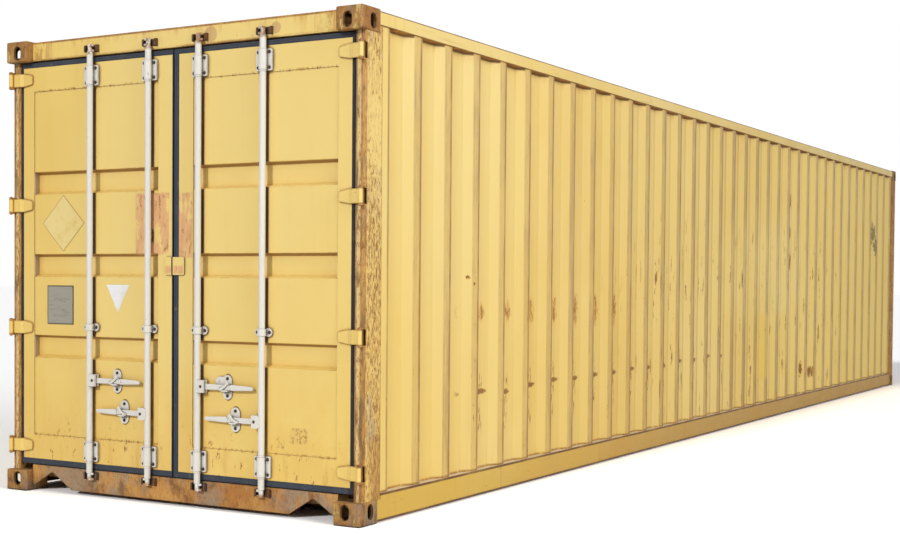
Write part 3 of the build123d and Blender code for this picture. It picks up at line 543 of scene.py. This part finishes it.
def post_finish(name, rust=0.0):
    """Corner post paint: fine upright rust cracks, and brown streaks with a painted cream highlight on the
    narrow front.
    """
    paint = painted(name, 0.55, fade=0.4, streaks=0.5)
    ends = paint.z.ramp(0.85, 0.15) | paint.z.ramp(2.10, 2.5)
    broad = paint.noise(2.6, up=0.35, detail=4.0, rough=0.6)
    fine = paint.noise(82.0, up=0.30, detail=7.0, rough=0.80)
    height = broad * 0.30 + (ends * 0.05 + fine)
    paint.coat(height.ramp(0.58 - rust, 0.735 - rust) * 0.6, "rust_light")
    paint.coat(paint.flecks(5.0, 0.50, 0.66, up=0.2) * (ends * 0.5 + 0.3), "post_ochre")
    paint.coat(paint.flecks(9.0, 0.56, 0.64, up=0.3) * 0.6, "post_bare")
    paint.coat(paint.flecks(44.0, 0.62, 0.66, up=0.5) * 0.7, "post_speck")
    stripes = paint.noise(34.0, up=0.14, detail=6.0, rough=0.7)
    brown = paint.mix(stripes.ramp(0.40, 0.56), "stripe_dark", "stripe_light")
    brown = paint.mix(fine.ramp(0.50, 0.62), brown, "stripe_fleck")
    # The cream band down the narrow front is a painted highlight of its rounded edge.
    cream = abs(paint.x).within(1.164, 1.184) * stripes.ramp(0.36, 0.50) * 0.85
    front = paint.y.ramp(-6.026, -6.040) * paint.z.ramp(0.10, 0.13)
    paint.coat(front * (ends * 0.1 + 0.82), paint.mix(cream, brown, "post_highlight"))
    flaked = height.ramp(0.685 - rust, 0.735 - rust)
    edge = paint.edges(0.005, 0.10) * paint.flecks(14.0, 0.3, 0.5, up=0.25)
    rear = abs(paint.y + 5.892).ramp(0.006, 0.003) * 0.8
    worn = flaked * 0.9 | edge * 0.7 | rear * fine
    paint.bump(paint.noise(60.0, detail=5.0) - worn * 0.6, 0.002, 0.7)
    return weathered(paint, worn)


def rusted_finish(name, paint_left, relief, tone=(1.0, 1.0, 1.0)):
    """Steel that is mostly rust, in soft upright bands of ochre, brown and grey, with painted shade in its
    hollows.
    """
    steel = Finish(name, 0.75)
    bands = steel.noise(5.0, up=0.6, detail=7.0, rough=0.68)
    steel.colour = steel.mix(bands.ramp(0.36, 0.62), "rust_mid", "rust_ochre")
    steel.coat(steel.flecks(3.4, 0.48, 0.62, up=0.6) * 0.7, "rust_grey")
    steel.coat(steel.flecks(11.0, 0.48, 0.64, up=0.6) * 0.7, "rust_brown")
    steel.coat(steel.flecks(90.0, 0.50, 0.66) * 0.5, "rust_dark")
    cover = steel.noise(14.0, up=0.4, detail=8.0, rough=0.7)
    paint = cover.ramp(0.70 - paint_left * 0.22, 0.76 - paint_left * 0.22)
    steel.coat(paint * 0.6, yellow_paint(steel, fade=0.3, streaks=0.8))
    steel.coat(steel.edges(0.007, 0.12) * steel.flecks(20.0, 0.30, 0.50) * 0.85, "rust_rim")
    # Painted shade: near black deep in hollows and holes.
    steel.coat(steel.creases(0.09).ramp(0.36, 0.74), "hole_shade")
    steel.coat(1.0, tone, "MULTIPLY")
    steel.bump(steel.noise(90.0, detail=6.0, rough=0.7) * 0.5 + paint, relief, 0.8)
    return steel.done(paint * -0.2 + 0.78)


def door_finish(name, labels, rods=(), seams=(), scuffs=()):
    """Door leaf paint, with painted shadow behind the rods, painted shade around the catches and in its
    recesses, folds and joints, rust along its folds, and the marks that one leaf carries.
    """
    paint = painted(name, 0.48, fade=0.3, streaks=0.1)
    # Painted shade: an orange-brown darkening in the leaf's corners and recesses.
    paint.coat(paint.creases(0.06).ramp(0.12, 0.6) * 0.6, "recess_shade")
    face = door_face_y()
    hollow = paint.y.ramp(face + 0.007, face + 0.013)
    flat = 1.0 - hollow
    # Painted shade on the recesses' downward faces and their ends.
    under = paint.facing_z.ramp(-0.3, -0.7) * hollow * paint.z.ramp(0.35, 0.45)
    ends = abs(paint.facing_x).ramp(0.5, 0.9) * hollow
    paint.coat((under | ends) * 0.85, "fold_shade")
    # Painted shade in the joints of the flat face.
    paint.coat(paint.creases(0.026).ramp(0.20, 0.42) * flat * 0.8, "door_joint_shade")
    # Painted shadow of each rod on the flat face, a little ragged.
    rubbed = paint.flecks(12.0, 0.35, 0.6, up=0.15) * 0.35 + 0.6
    for x in (rod_axis(rod).x for rod in rods):
        paint.coat(paint.x.within(x - 0.018, x + 0.020) * flat * rubbed, "rod_shadow")
    # Painted shade in a ring around each handle's catch plate.
    for rod in rods:
        above = paint.z.away(handle_pivot(rod).z, 0.070)
        oval = paint.x.away(catch_x(rod), 0.027) + above * above
        paint.coat(oval.ramp(1.25, 0.95) * 0.85, "catch_shade")
    folds = paint.creases(0.012).ramp(0.2, 0.6) * (paint.flecks(20.0, 0.4, 0.6, up=0.5) * 0.6 + 0.3)
    for low_x, high_x, height in seams:
        seam = paint.z.within(height - 0.006, height + 0.008) * paint.x.within(low_x, high_x)
        folds = folds | seam * paint.flecks(60.0, 0.50, 0.58) * 0.8
    paint.coat(paint.z.ramp(0.95, 0.30) * paint.flecks(3.5, 0.30, 0.65, up=0.6) * 0.45, "door_foot")
    edge = paint.edges(0.005, 0.08) * paint.flecks(9.0, 0.48, 0.66) * 0.6
    low = paint.z.ramp(0.48, 0.30) * paint.flecks(34.0, 0.60, 0.65)
    worn = edge | folds | low | paint.flecks(24.0, 0.70, 0.73) * 0.8
    paint.coat(paint.flecks(12.0, 0.5, 0.7, up=0.12) * paint.z.ramp(0.42, 0.2) * 0.5, "rust_light")
    for low_x, high_x, low_z, high_z in scuffs:
        spot = paint.x.within(low_x, high_x, 0.012) * paint.z.within(low_z, high_z, 0.010)
        paint.coat(spot * 0.35, "door_scuff")
        worn = worn | spot * paint.flecks(52.0, 0.50, 0.57, up=0.8) * 0.85
    for low_x, high_x, low_z, high_z in labels:
        ragged = paint.noise(16.0, up=0.4, detail=7.0, rough=0.7)
        patch = paint.x.within(low_x, high_x, 0.006) * paint.z.within(low_z, high_z, 0.008)
        patch = patch * ragged.ramp(0.38, 0.46)
        paint.coat(patch * 0.85, paint.mix(ragged.ramp(0.45, 0.7), "primer", "primer_orange"))
        worn = worn | patch * paint.flecks(50.0, 0.56, 0.62, up=0.35) * 0.8
    paint.bump(paint.noise(260.0, detail=2.0) * 0.03 + paint.noise(2.5, detail=3.0), 0.003, 0.5)
    return weathered(paint, worn, paint.facing_y * -1.0)


def blade_finish(name):
    """Hinge blade paint, rusted brown along its edges, with painted shade where it meets the leaf."""
    paint = painted(name, 0.5, fade=0.3, streaks=0.3)
    # Painted shade in the crease where the blade meets the leaf.
    paint.coat(paint.creases(0.02).ramp(0.25, 0.60) * 0.7, "blade_gap_shade")
    edge = paint.edges(0.010, 0.10) * paint.flecks(22.0, 0.22, 0.42, up=0.6)
    paint.bump(paint.noise(90.0, detail=4.0), 0.001, 0.5)
    return weathered(paint, edge * 0.9 | paint.flecks(30.0, 0.64, 0.69))


def roof_finish():
    """Roof paint with dirt lying in its pans."""
    paint = painted("roof_paint", 0.6, fade=0.8, streaks=0.2)
    pan = paint.z.ramp(2.582, 2.566)
    paint.coat(paint.flecks(4.0, 0.35, 0.65, up=1.0) * (pan * 0.45 + 0.12), "grime")
    paint.bump(paint.noise(2.5, detail=3.0), 0.006, 0.5)
    return weathered(paint, paint.flecks(20.0, 0.64, 0.69, up=1.0), paint.facing_z)


def front_finish():
    """Front wall paint, inside grey."""
    paint = painted("front_wall_paint", 0.5, fade=0.5, streaks=0.5)
    paint.bump(paint.noise(2.5, detail=3.0), 0.006, 0.5)
    return weathered(paint, paint.flecks(22.0, 0.62, 0.68), paint.facing_y)


def gear_finish(name, rust):
    """Off-white paint of the door gear, with painted shade in its joints, and stained at its edges and the
    rods' tips.
    """
    paint = Finish(name, 0.42)
    tone = paint.noise(3.0, up=0.4, detail=4.0).ramp(0.3, 0.7)
    paint.colour = paint.mix(tone * 0.25, "gear", "gear_grey")
    # Painted shade: dark joints and creases of the gear.
    crease = paint.creases(0.012 + 0.016 * rust).ramp(0.30 - 0.12 * rust, 0.60 - 0.16 * rust)
    paint.coat(crease * (0.5 + 0.4 * rust), "gear_joint_shade")
    chips = paint.flecks(40.0, 0.66 - 0.05 * rust, 0.72 - 0.05 * rust)
    edge = paint.edges(0.003, 0.15) * paint.flecks(24.0, 0.50, 0.64)
    worn = (chips | edge) * min(1.0, 0.4 + 0.3 * rust)
    tips = paint.z.ramp(2.470, 2.490) | paint.z.ramp(0.125, 0.105)
    paint.bump(paint.noise(120.0, detail=4.0), 0.0006, 0.5)
    return weathered(paint, worn | tips * paint.flecks(34.0, 0.36, 0.52, up=0.7) * 0.9)


def rubber_finish():
    """Dull dark rubber, greyed in places, and made darker at the right leaf's outer edge as painted shade of
    the gap there.
    """
    rubber = Finish("seal_rubber", 0.7)
    rubbed = rubber.flecks(14.0, 0.45, 0.7, across=0.6, up=0.3) * 0.35
    rubber.colour = rubber.mix(rubbed, "rubber", "rubber_grey")
    # Painted shade: the seal at the right leaf's outer edge, near black like the gap beside it.
    rubber.coat(rubber.x.ramp(1.10, 1.12) * 0.65, "seal_gap_shade")
    rubber.coat(rubber.flecks(30.0, 0.6, 0.7) * 0.5, "rubber_dust")
    rubber.bump(rubber.noise(160.0, detail=3.0), 0.0006, 0.6)
    return rubber.done()


def board_finish():
    """Plywood floor: boards, grain along the box, and dark wheel marks."""
    board = Finish("plywood_floor", 0.68)
    grain = board.noise(60.0, along=0.05, detail=6.0, rough=0.65)
    board.colour = board.mix(grain.ramp(0.3, 0.7), "board", "board_grain")
    width = abs(board.x)
    across = abs(board.math("FRACT", board.y / 2.4) - 0.5).within(0.498, 0.502, 0.0006)
    seams = across | width.within(0.575, 0.579, 0.0012) | width.ramp(0.004, 0.002)
    board.coat(seams * 0.85, "board_seam")
    wheels = width.within(0.42, 0.78, 0.1) * board.flecks(3.0, 0.4, 0.7, along=0.15, up=1.0)
    board.coat(wheels * 0.5, "wheel_mark")
    board.bump(grain * 0.3 - seams, 0.0015, 0.6)
    return board.done()


def plate_finish():
    """Bare data plate, dull and scratched, with a dark rim and nothing written on it."""
    plate = Finish("bare_data_plate", 0.5, 0.25)
    scratch = plate.flecks(60.0, 0.50, 0.75, across=0.25, up=1.0)
    plate.colour = plate.mix(scratch * 0.6, "plate", "plate_scratch")
    aside, above = (
        abs(place - middle).ramp(half - 0.008, half - 0.004)
        for place, middle, half in zip((plate.x, plate.z), PLATE_MIDDLE, PLATE_HALF)
    )
    plate.coat((aside | above) * 0.85, "plate_rim")
    plate.bump(plate.noise(30.0, detail=3.0), 0.001, 0.5)
    return plate.done()


def film_finish(name, colour, worn_to, wear):
    """Sticker film with worn, yellowed patches."""
    film = Finish(name, 0.45)
    film.colour = film.mix(film.flecks(9.0, 0.45, 0.7, up=1.0) * wear, colour, worn_to)
    return film.done()


def dress(material, *names):
    """Give CAD nodes their material."""
    for name in names:
        slots = frame["nodes"][name].data.materials
        slots.clear()
        slots.append(material)


def new_object(name, fill, material):
    """A new object from a bmesh that a function fills."""
    shape = bmesh.new()
    fill(shape)
    mesh = bpy.data.meshes.new(name)
    shape.to_mesh(mesh)
    shape.free()
    mesh.materials.append(material)
    made = bpy.data.objects.new(name, mesh)
    bpy.context.scene.collection.objects.link(made)
    return made


def new_piece(name, fill, body, material):
    """A new piece with its faces turned outwards, riding on its body."""
    def turned(shape):
        fill(shape)
        bmesh.ops.recalc_face_normals(shape, faces=shape.faces)

    piece = new_object(name, turned, material)
    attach(piece, body)


def soften(shape, edges, offset):
    """Bevel edges in two steps."""
    bmesh.ops.bevel(shape, geom=edges, offset=offset, segments=2, affect="EDGES", profile=0.5, material=-1)


def add_bolt(shape, place, radius, height):
    """Domed bolt head that stands out of a plate towards -Y."""
    outward = Vector((0, -1, 0))
    turn = Vector((0, 0, 1)).rotation_difference(outward).to_matrix().to_4x4()
    head = bmesh.ops.create_cone(
        shape, cap_ends=True, segments=12, radius1=radius, radius2=radius * 0.86, depth=height,
        matrix=Matrix.Translation(Vector(place) + outward * height / 2) @ turn,
    )
    crown = Vector(place) + outward * height
    top = [edge for edge in {e for v in head["verts"] for e in v.link_edges}
           if all((v.co - crown).dot(outward) > -height / 4 for v in edge.verts)]
    soften(shape, top, height * 0.4)


def add_block(shape, low, high, bevel):
    """Block between two corners, with bevelled edges."""
    low, high = Vector(low), Vector(high)
    verts = bmesh.ops.create_cube(shape, size=1.0)["verts"]
    bmesh.ops.scale(shape, vec=high - low, verts=verts)
    bmesh.ops.translate(shape, vec=(low + high) / 2, verts=verts)
    soften(shape, list({e for v in verts for e in v.link_edges}), bevel)


def thicken(shape, faces, thick):
    """Draw faces out towards -Y and give the vertices that moved."""
    made = bmesh.ops.extrude_face_region(shape, geom=faces)["geom"]
    moved = [item for item in made if isinstance(item, bmesh.types.BMVert)]
    bmesh.ops.translate(shape, vec=(0, -thick, 0), verts=moved)
    return moved


def add_film(shape, front, outline, thick=0.0006):
    """Thin film stuck on a face of the doors, its outline given across and up."""
    thicken(shape, [shape.faces.new([shape.verts.new((x, front - 0.0002, z)) for x, z in outline])], thick)


def add_strap(shape, points, front, wide, thick):
    """Strap of even width along points of a plane seen from the doors."""
    rows = []
    for number, (x, z) in enumerate(points):
        before, after = points[max(0, number - 1)], points[min(len(points) - 1, number + 1)]
        along = Vector((after[0] - before[0], after[1] - before[1])).normalized()
        side = Vector((-along.y, along.x)) * wide / 2
        rows.append([shape.verts.new((x + s * side.x, front, z + s * side.y)) for s in (-1, 1)])
    faces = [shape.faces.new((a[0], a[1], b[1], b[0])) for a, b in zip(rows, rows[1:])]
    moved = thicken(shape, faces, thick)
    rims = [edge for edge in shape.edges
            if edge.is_valid and all(v in moved for v in edge.verts) and len(edge.link_faces) == 2]
    soften(shape, rims, thick * 0.3)


def add_lip(shape, start, end, front, half=0.0022, proud=0.0025):
    """Raised lip between two points of the doors' plane."""
    low = (min(start[0], end[0]) - half, front - proud, min(start[1], end[1]) - half)
    high = (max(start[0], end[0]) + half, front + proud, max(start[1], end[1]) + half)
    add_block(shape, low, high, half * 0.6)


def rods_of(side):
    """The rods on one leaf."""
    return [rod for rod in RODS if rod.startswith(side)]


def rod_axis(rod):
    """Point on a locking rod's axis."""
    return Vector(joints[f"{rod}_rod_turn"]["pos_m"])


def handle_pivot(rod):
    """Pin of a rod's handle."""
    return Vector(joints[f"{rod}_handle_lift"]["pos_m"])


def catch_side(rod):
    """1 where a rod's catch is on its right, -1 where it is on its left."""
    return math.copysign(1.0, handle_pivot(rod).x - rod_axis(rod).x)


def catch_x(rod):
    """Place across of a rod's catch."""
    return rod_axis(rod).x + catch_side(rod) * bpy.context.scene.container_sizes.catch_reach


def door_face_y():
    """Face of the leaves."""
    return cad_box[0][1] + bpy.context.scene.container_sizes.door_face


def gear_bolts(rod, sizes):
    """Places of the bolts that hold a rod's bearings, its guide and its handle's catch."""
    x, face = rod_axis(rod).x, door_face_y()
    for z, across, up in product((sizes.bearing_low, sizes.bearing_high), (-1, 1), (-1, 1)):
        place_z = z + up * sizes.bearing_bolt_z
        yield x + across * sizes.bearing_bolt_x, face - SEAT - sizes.bearing_plate, place_z
    for across in (-1, 1):
        yield x + across * sizes.guide_bolt_x, face - SEAT - sizes.guide_plate, sizes.guide
    catch_y = face + sizes.panel_setback - SEAT - sizes.catch_plate
    for up in (-1, 1):
        yield catch_x(rod), catch_y, handle_pivot(rod).z + up * sizes.catch_bolt_z


class CONTAINER_OT_finish_walls(Operator):
    """Paint the side walls, the front wall and the roof"""

    bl_idname = "container.finish_walls"
    bl_label = "Walls and roof"

    def execute(self, context):
        dress(wall_finish("right_wall_paint", 1, True), "right_side_wall")
        dress(wall_finish("left_wall_paint", -1, False), "left_side_wall")
        dress(front_finish(), "front_wall")
        dress(roof_finish(), "roof")
        return {"FINISHED"}


class CONTAINER_OT_finish_frame(Operator):
    """Paint and rust the rails, posts, castings, header, sill and cross members"""

    bl_idname = "container.finish_frame"
    bl_label = "Frame"

    def execute(self, context):
        top_paint = rail_finish("top_rail_paint", (1.0, 1.0, 1.0), 0.6, TOP_RAIL_SEAMS)
        dress(top_paint, "left_top_rail", "right_top_rail")
        bottom_paint = rail_finish("bottom_rail_paint", "bottom_rail", 0.8, BOTTOM_RAIL_SEAMS)
        dress(bottom_paint, "left_bottom_rail", "right_bottom_rail")
        dress(rail_finish("front_frame_paint", "front_frame", 1.2), "front_header", "front_sill")
        dress(header_finish(), "door_header")
        dress(post_finish("door_post_paint"), "left_door_post", "right_door_post")
        dress(post_finish("front_post_paint", 0.12), "left_front_post", "right_front_post")
        dress(rusted_finish("sill_rust", 0.12, 0.002, (1.25, 1.22, 1.15)), "door_sill")
        castings = [f"{row}_{end}_castings" for row in ("top", "bottom") for end in ("door", "front")]
        dress(rusted_finish("casting_rust", 0.55, 0.003), *castings)
        dress(rusted_finish("underside_rust", 0.0, 0.002, (0.5, 0.46, 0.42)), "cross_members")
        return {"FINISHED"}


class CONTAINER_OT_finish_doors(Operator):
    """Paint the two door leaves"""

    bl_idname = "container.finish_doors"
    bl_label = "Door leaves"

    def execute(self, context):
        for side in SIDES:
            low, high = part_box(f"{side}_door_panel")
            seams = [(low.x, high.x, corner.z) for corner in (low, high)]
            material = door_finish(
                f"{side}_door_paint", RUBBED_LABELS[side], rods_of(side), seams, LEAF_SCUFFS[side],
            )
            dress(material, f"{side}_door_frame", f"{side}_door_panel")
            dress(blade_finish(f"{side}_blade_paint"), f"{side}_hinge_blades")
            low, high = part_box(f"{side}_lock_plate")
            bare = [(low.x + 0.004, high.x - 0.004, low.z + 0.008, (low.z + high.z) / 2)]
            dress(door_finish(f"{side}_lock_plate_paint", bare), f"{side}_lock_plate")
        return {"FINISHED"}


class CONTAINER_OT_finish_gear(Operator):
    """Paint the rods, handles, brackets and catches, and rust the keepers"""

    bl_idname = "container.finish_gear"
    bl_label = "Door gear"

    def execute(self, context):
        light = gear_finish("rod_paint", 0.4)
        heavy = gear_finish("bracket_paint", 1.0)
        for rod in RODS:
            dress(light, f"{rod}_rod")
            dress(heavy, f"{rod}_handle")
        for side in SIDES:
            dress(heavy, f"{side}_rod_brackets", f"{side}_handle_catches")
        dress(rusted_finish("keeper_rust", 0.1, 0.001, (0.42, 0.36, 0.30)), "top_keepers", "bottom_keepers")
        return {"FINISHED"}


class CONTAINER_OT_add_bolts(Operator):
    """Bolt the rods' brackets and the handles' catches to the leaves"""

    bl_idname = "container.add_bolts"
    bl_label = "Bolts"

    def execute(self, context):
        sizes = context.scene.container_sizes
        material = rusted_finish("bolt_rust", 0.0, 0.0005, (0.16, 0.15, 0.14))
        for side in SIDES:
            def fill(shape):
                for rod in rods_of(side):
                    for place in gear_bolts(rod, sizes):
                        add_bolt(shape, place, sizes.bolt_radius, sizes.bolt_height)

            new_piece(f"{side}_gear_bolts", fill, f"{side}_door", material)
        return {"FINISHED"}


class CONTAINER_OT_add_pins(Operator):
    """Add the pin heads that show on the hubs of the handles"""

    bl_idname = "container.add_pins"
    bl_label = "Handle pins"

    def execute(self, context):
        sizes = context.scene.container_sizes
        material = rusted_finish("pin_rust", 0.0, 0.0005, (0.30, 0.28, 0.26))
        for rod in RODS:
            pivot, front = handle_pivot(rod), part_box(f"{rod}_rod")[0].y

            def fill(shape):
                add_bolt(shape, (pivot.x, front, pivot.z), sizes.pin_radius, sizes.pin_height)

            new_piece(f"{rod}_pin_head", fill, f"{rod}_rod", material)
        return {"FINISHED"}


class CONTAINER_OT_add_clasps(Operator):
    """Add the clasp that lies over each handle where it rests on its catch"""

    bl_idname = "container.add_clasps"
    bl_label = "Handle clasps"

    def execute(self, context):
        material = gear_finish("clasp_paint", 1.2)
        for rod in RODS:
            x, z, toward = catch_x(rod), handle_pivot(rod).z, catch_side(rod)
            front = rod_axis(rod).y - 0.0042

            def fill(shape):
                points = [(x + toward * along, z + up) for along, up in CLASP_PATH]
                add_strap(shape, points, front, 0.014, 0.006)
                for along, up in (CLASP_PATH[0], CLASP_PATH[-1]):
                    add_bolt(shape, (x + toward * along, front, z + up * 0.6), 0.006, 0.0085)

            new_piece(f"{rod}_handle_clasp", fill, f"{rod}_handle", material)
        return {"FINISHED"}


class CONTAINER_OT_finish_seals(Operator):
    """Finish the door seals and add their raised lips"""

    bl_idname = "container.finish_seals"
    bl_label = "Door seals"

    def execute(self, context):
        material = rubber_finish()
        for side, sign in SIDES.items():
            dress(material, f"{side}_door_gasket")
            low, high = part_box(f"{side}_door_gasket")
            leaf_low, leaf_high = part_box(f"{side}_door_frame")
            outer, leaf_outer = (low.x, leaf_low.x) if sign < 0 else (high.x, leaf_high.x)

            def upright(shape, start, end, share):
                x = start + (end - start) * share
                add_lip(shape, (x, leaf_low.z), (x, leaf_high.z), low.y)

            def level(shape, start, end, share):
                z = start + (end - start) * share
                add_lip(shape, (low.x + 0.004, z), (high.x - 0.004, z), low.y)

            def fill(shape):
                for share in (0.3, 0.75):
                    upright(shape, leaf_outer, outer, share)
                    level(shape, leaf_high.z, high.z, share)
                    level(shape, leaf_low.z, low.z, share)
                if sign > 0:
                    for share in (0.25, 0.75):
                        upright(shape, low.x, leaf_low.x, share)

            new_piece(f"{side}_seal_lips", fill, f"{side}_door", material)
        return {"FINISHED"}


class CONTAINER_OT_finish_floor(Operator):
    """Finish the plywood floor and add its rows of screws"""

    bl_idname = "container.finish_floor"
    bl_label = "Floor"

    def execute(self, context):
        dress(board_finish(), "floor")
        low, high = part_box("floor")
        rows = int((high.y - low.y - 0.4) / SCREW_PITCH)

        def fill(shape):
            for row, share in product(range(rows + 1), SCREW_SHARES):
                y = (row - rows / 2) * SCREW_PITCH + (high.y + low.y) / 2
                bmesh.ops.create_cone(
                    shape, cap_ends=True, segments=10, radius1=0.007, radius2=0.005, depth=0.001,
                    matrix=Matrix.Translation((share * high.x, y, high.z + 0.0005)),
                )

        material = rusted_finish("screw_rust", 0.0, 0.0003)
        new_piece("floor_screws", fill, "box", material)
        return {"FINISHED"}


class CONTAINER_OT_add_plates(Operator):
    """Add the bare data plate, the bare triangle and the placard's bleached film"""

    bl_idname = "container.add_plates"
    bl_label = "Plates and films"

    def execute(self, context):
        panel_y = door_face_y() + context.scene.container_sizes.panel_setback
        (x, z), (half_x, half_z) = PLATE_MIDDLE, PLATE_HALF

        def data_plate(shape):
            low, high = (x - half_x, panel_y - 0.0025, z - half_z), (x + half_x, panel_y - 0.0002, z + half_z)
            add_block(shape, low, high, 0.001)
            for rivet_x, rivet_z in product(*PLATE_RIVETS):
                add_bolt(shape, (rivet_x, panel_y - 0.0025, rivet_z), 0.0045, 0.002)

        def triangle(shape):
            add_film(shape, panel_y, TRIANGLE)

        def diamond(half, thick):
            x, z = PLACARD_MIDDLE
            outline = ((x - half, z), (x, z + half), (x + half, z), (x, z - half))
            return lambda shape: add_film(shape, panel_y, outline, thick)

        white = film_finish("white_film", "decal", "decal_worn", 0.5)
        brown = film_finish("placard_rim", "placard_edge", "placard_edge_worn", 1.0)
        pale = film_finish("placard_film", "placard_pale", "placard_worn", 1.0)
        new_piece("data_plate", data_plate, "left_door", plate_finish())
        new_piece("bare_triangle", triangle, "left_door", white)
        new_piece("placard_rim", diamond(0.161, 0.0006), "left_door", brown)
        new_piece("placard_film", diamond(0.156, 0.0012), "left_door", pale)
        return {"FINISHED"}


class CONTAINER_OT_set_stage(Operator):
    """Set the floor, the light, the world and the camera"""

    bl_idname = "container.set_stage"
    bl_label = "Stage"

    def execute(self, context):
        stage = context.scene.container_stage
        context.scene.view_settings.view_transform = "Standard"
        stage_floor(stage)
        stage_world(stage)
        add_lamp("key_light", "SUN", stage.key_strength, KEY_DIRECTION).angle = math.radians(5.0)
        add_lamp("side_light", "SUN", stage.side_strength, SIDE_DIRECTION).angle = math.radians(30.0)
        aim = CORNER_TARGET - CORNER_PLACE
        add_lamp("corner_light", "AREA", stage.corner_strength, aim, CORNER_PLACE).size = 5.0
        stage_camera(stage)
        return {"FINISHED"}


def stage_floor(stage):
    """Wide pale floor just under the castings, brighter where the camera sees it."""
    finish = Finish("stage_floor", 0.9)
    seen = finish.tree.nodes.new("ShaderNodeLightPath").outputs["Is Camera Ray"]
    lifted = tuple(value * FLOOR_LIFT for value in stage.floor_colour)
    finish.colour = finish.mix(seen, tuple(stage.floor_colour), lifted)

    def fill(shape):
        bmesh.ops.create_grid(shape, x_segments=1, y_segments=1, size=FLOOR_SIZE)
        bmesh.ops.translate(shape, vec=(0, 0, cad_box[0][2] - 0.001), verts=shape.verts)

    return new_object("stage_floor", fill, finish.done())


def stage_world(stage):
    """Even light, with white where the camera or a reflection looks past the object."""
    world = bpy.data.worlds.new("stage_world")
    bpy.context.scene.world = world
    world.use_nodes = True
    nodes, link = world.node_tree.nodes, world.node_tree.links.new
    light, white = nodes["Background"], nodes.new("ShaderNodeBackground")
    for background in (light, white):
        background.inputs["Color"].default_value = (1.0, 1.0, 1.0, 1.0)
    light.inputs["Strength"].default_value = stage.sky_strength
    path = nodes.new("ShaderNodeLightPath")
    seen = path.outputs["Is Camera Ray"]
    for other in ("Is Glossy Ray", "Is Transmission Ray"):
        both = nodes.new("ShaderNodeMath")
        both.operation = "MAXIMUM"
        link(seen, both.inputs[0])
        link(path.outputs[other], both.inputs[1])
        seen = both.outputs[0]
    either = nodes.new("ShaderNodeMixShader")
    for number, output in enumerate((seen, light.outputs[0], white.outputs[0])):
        link(output, either.inputs[number])
    link(either.outputs[0], nodes["World Output"].inputs["Surface"])


def add_lamp(name, kind, energy, direction, place=(0.0, 0.0, 0.0)):
    """Lamp that shines along a direction; gives its data."""
    lamp = bpy.data.lights.new(name, kind)
    lamp.energy = energy
    light = bpy.data.objects.new(name, lamp)
    light.location = place
    light.rotation_euler = Vector((0, 0, -1)).rotation_difference(direction).to_euler()
    bpy.context.scene.collection.objects.link(light)
    return lamp


def stage_camera(stage):
    """Camera at the photograph's place and angle."""
    yaw, pitch, roll = (math.radians(turn) for turn in (CAMERA_YAW, CAMERA_PITCH, CAMERA_ROLL))
    camera = bpy.data.cameras.new("camera")
    camera.lens = stage.lens
    camera.sensor_width = 36.0
    camera.shift_x, camera.shift_y = CAMERA_SHIFT
    camera.clip_end = 500.0
    eye = bpy.data.objects.new("camera", camera)
    eye.matrix_world = (
        Matrix.Translation(CAMERA_PLACE)
        @ Matrix.Rotation(yaw, 4, "Z")
        @ Matrix.Rotation(math.pi / 2 + pitch, 4, "X")
        @ Matrix.Rotation(roll, 4, "Z")
    )
    bpy.context.scene.collection.objects.link(eye)
    bpy.context.scene.camera = eye


STEPS = (
    CONTAINER_OT_finish_walls,
    CONTAINER_OT_finish_frame,
    CONTAINER_OT_finish_doors,
    CONTAINER_OT_finish_gear,
    CONTAINER_OT_finish_seals,
    CONTAINER_OT_finish_floor,
    CONTAINER_OT_add_bolts,
    CONTAINER_OT_add_pins,
    CONTAINER_OT_add_clasps,
    CONTAINER_OT_add_plates,
    CONTAINER_OT_set_stage,
)


class CONTAINER_PT_sidebar(Panel):
    """Sizes, colours and steps of the container's finish"""

    bl_idname = "CONTAINER_PT_sidebar"
    bl_label = "Freight container"
    bl_space_type = "VIEW_3D"
    bl_region_type = "UI"
    bl_category = "Container"

    def draw(self, context):
        for name in GROUPS:
            group, box = getattr(context.scene, name), self.layout.box()
            for key in group.__annotations__:
                box.prop(group, key)
        for step in STEPS:
            self.layout.operator(step.bl_idname)


GROUPS = {
    "container_sizes": ContainerSizes,
    "container_colours": ContainerColours,
    "container_stage": ContainerStage,
}


def register():
    """Register the classes and hang the settings on the scene."""
    for kind in (*GROUPS.values(), *STEPS, CONTAINER_PT_sidebar):
        bpy.utils.register_class(kind)
    for name, kind in GROUPS.items():
        setattr(bpy.types.Scene, name, PointerProperty(type=kind))


def unregister():
    """Take the settings and the classes away again."""
    for name in GROUPS:
        delattr(bpy.types.Scene, name)
    for kind in reversed((*GROUPS.values(), *STEPS, CONTAINER_PT_sidebar)):
        bpy.utils.unregister_class(kind)


def main():
    """Run every step in order."""
    register()
    bpy.ops.container.finish_walls()
    bpy.ops.container.finish_frame()
    bpy.ops.container.finish_doors()
    bpy.ops.container.finish_gear()
    bpy.ops.container.finish_seals()
    bpy.ops.container.finish_floor()
    bpy.ops.container.add_bolts()
    bpy.ops.container.add_pins()
    bpy.ops.container.add_clasps()
    bpy.ops.container.add_plates()
    bpy.ops.container.set_stage()


if __name__ == "__main__":
    main()
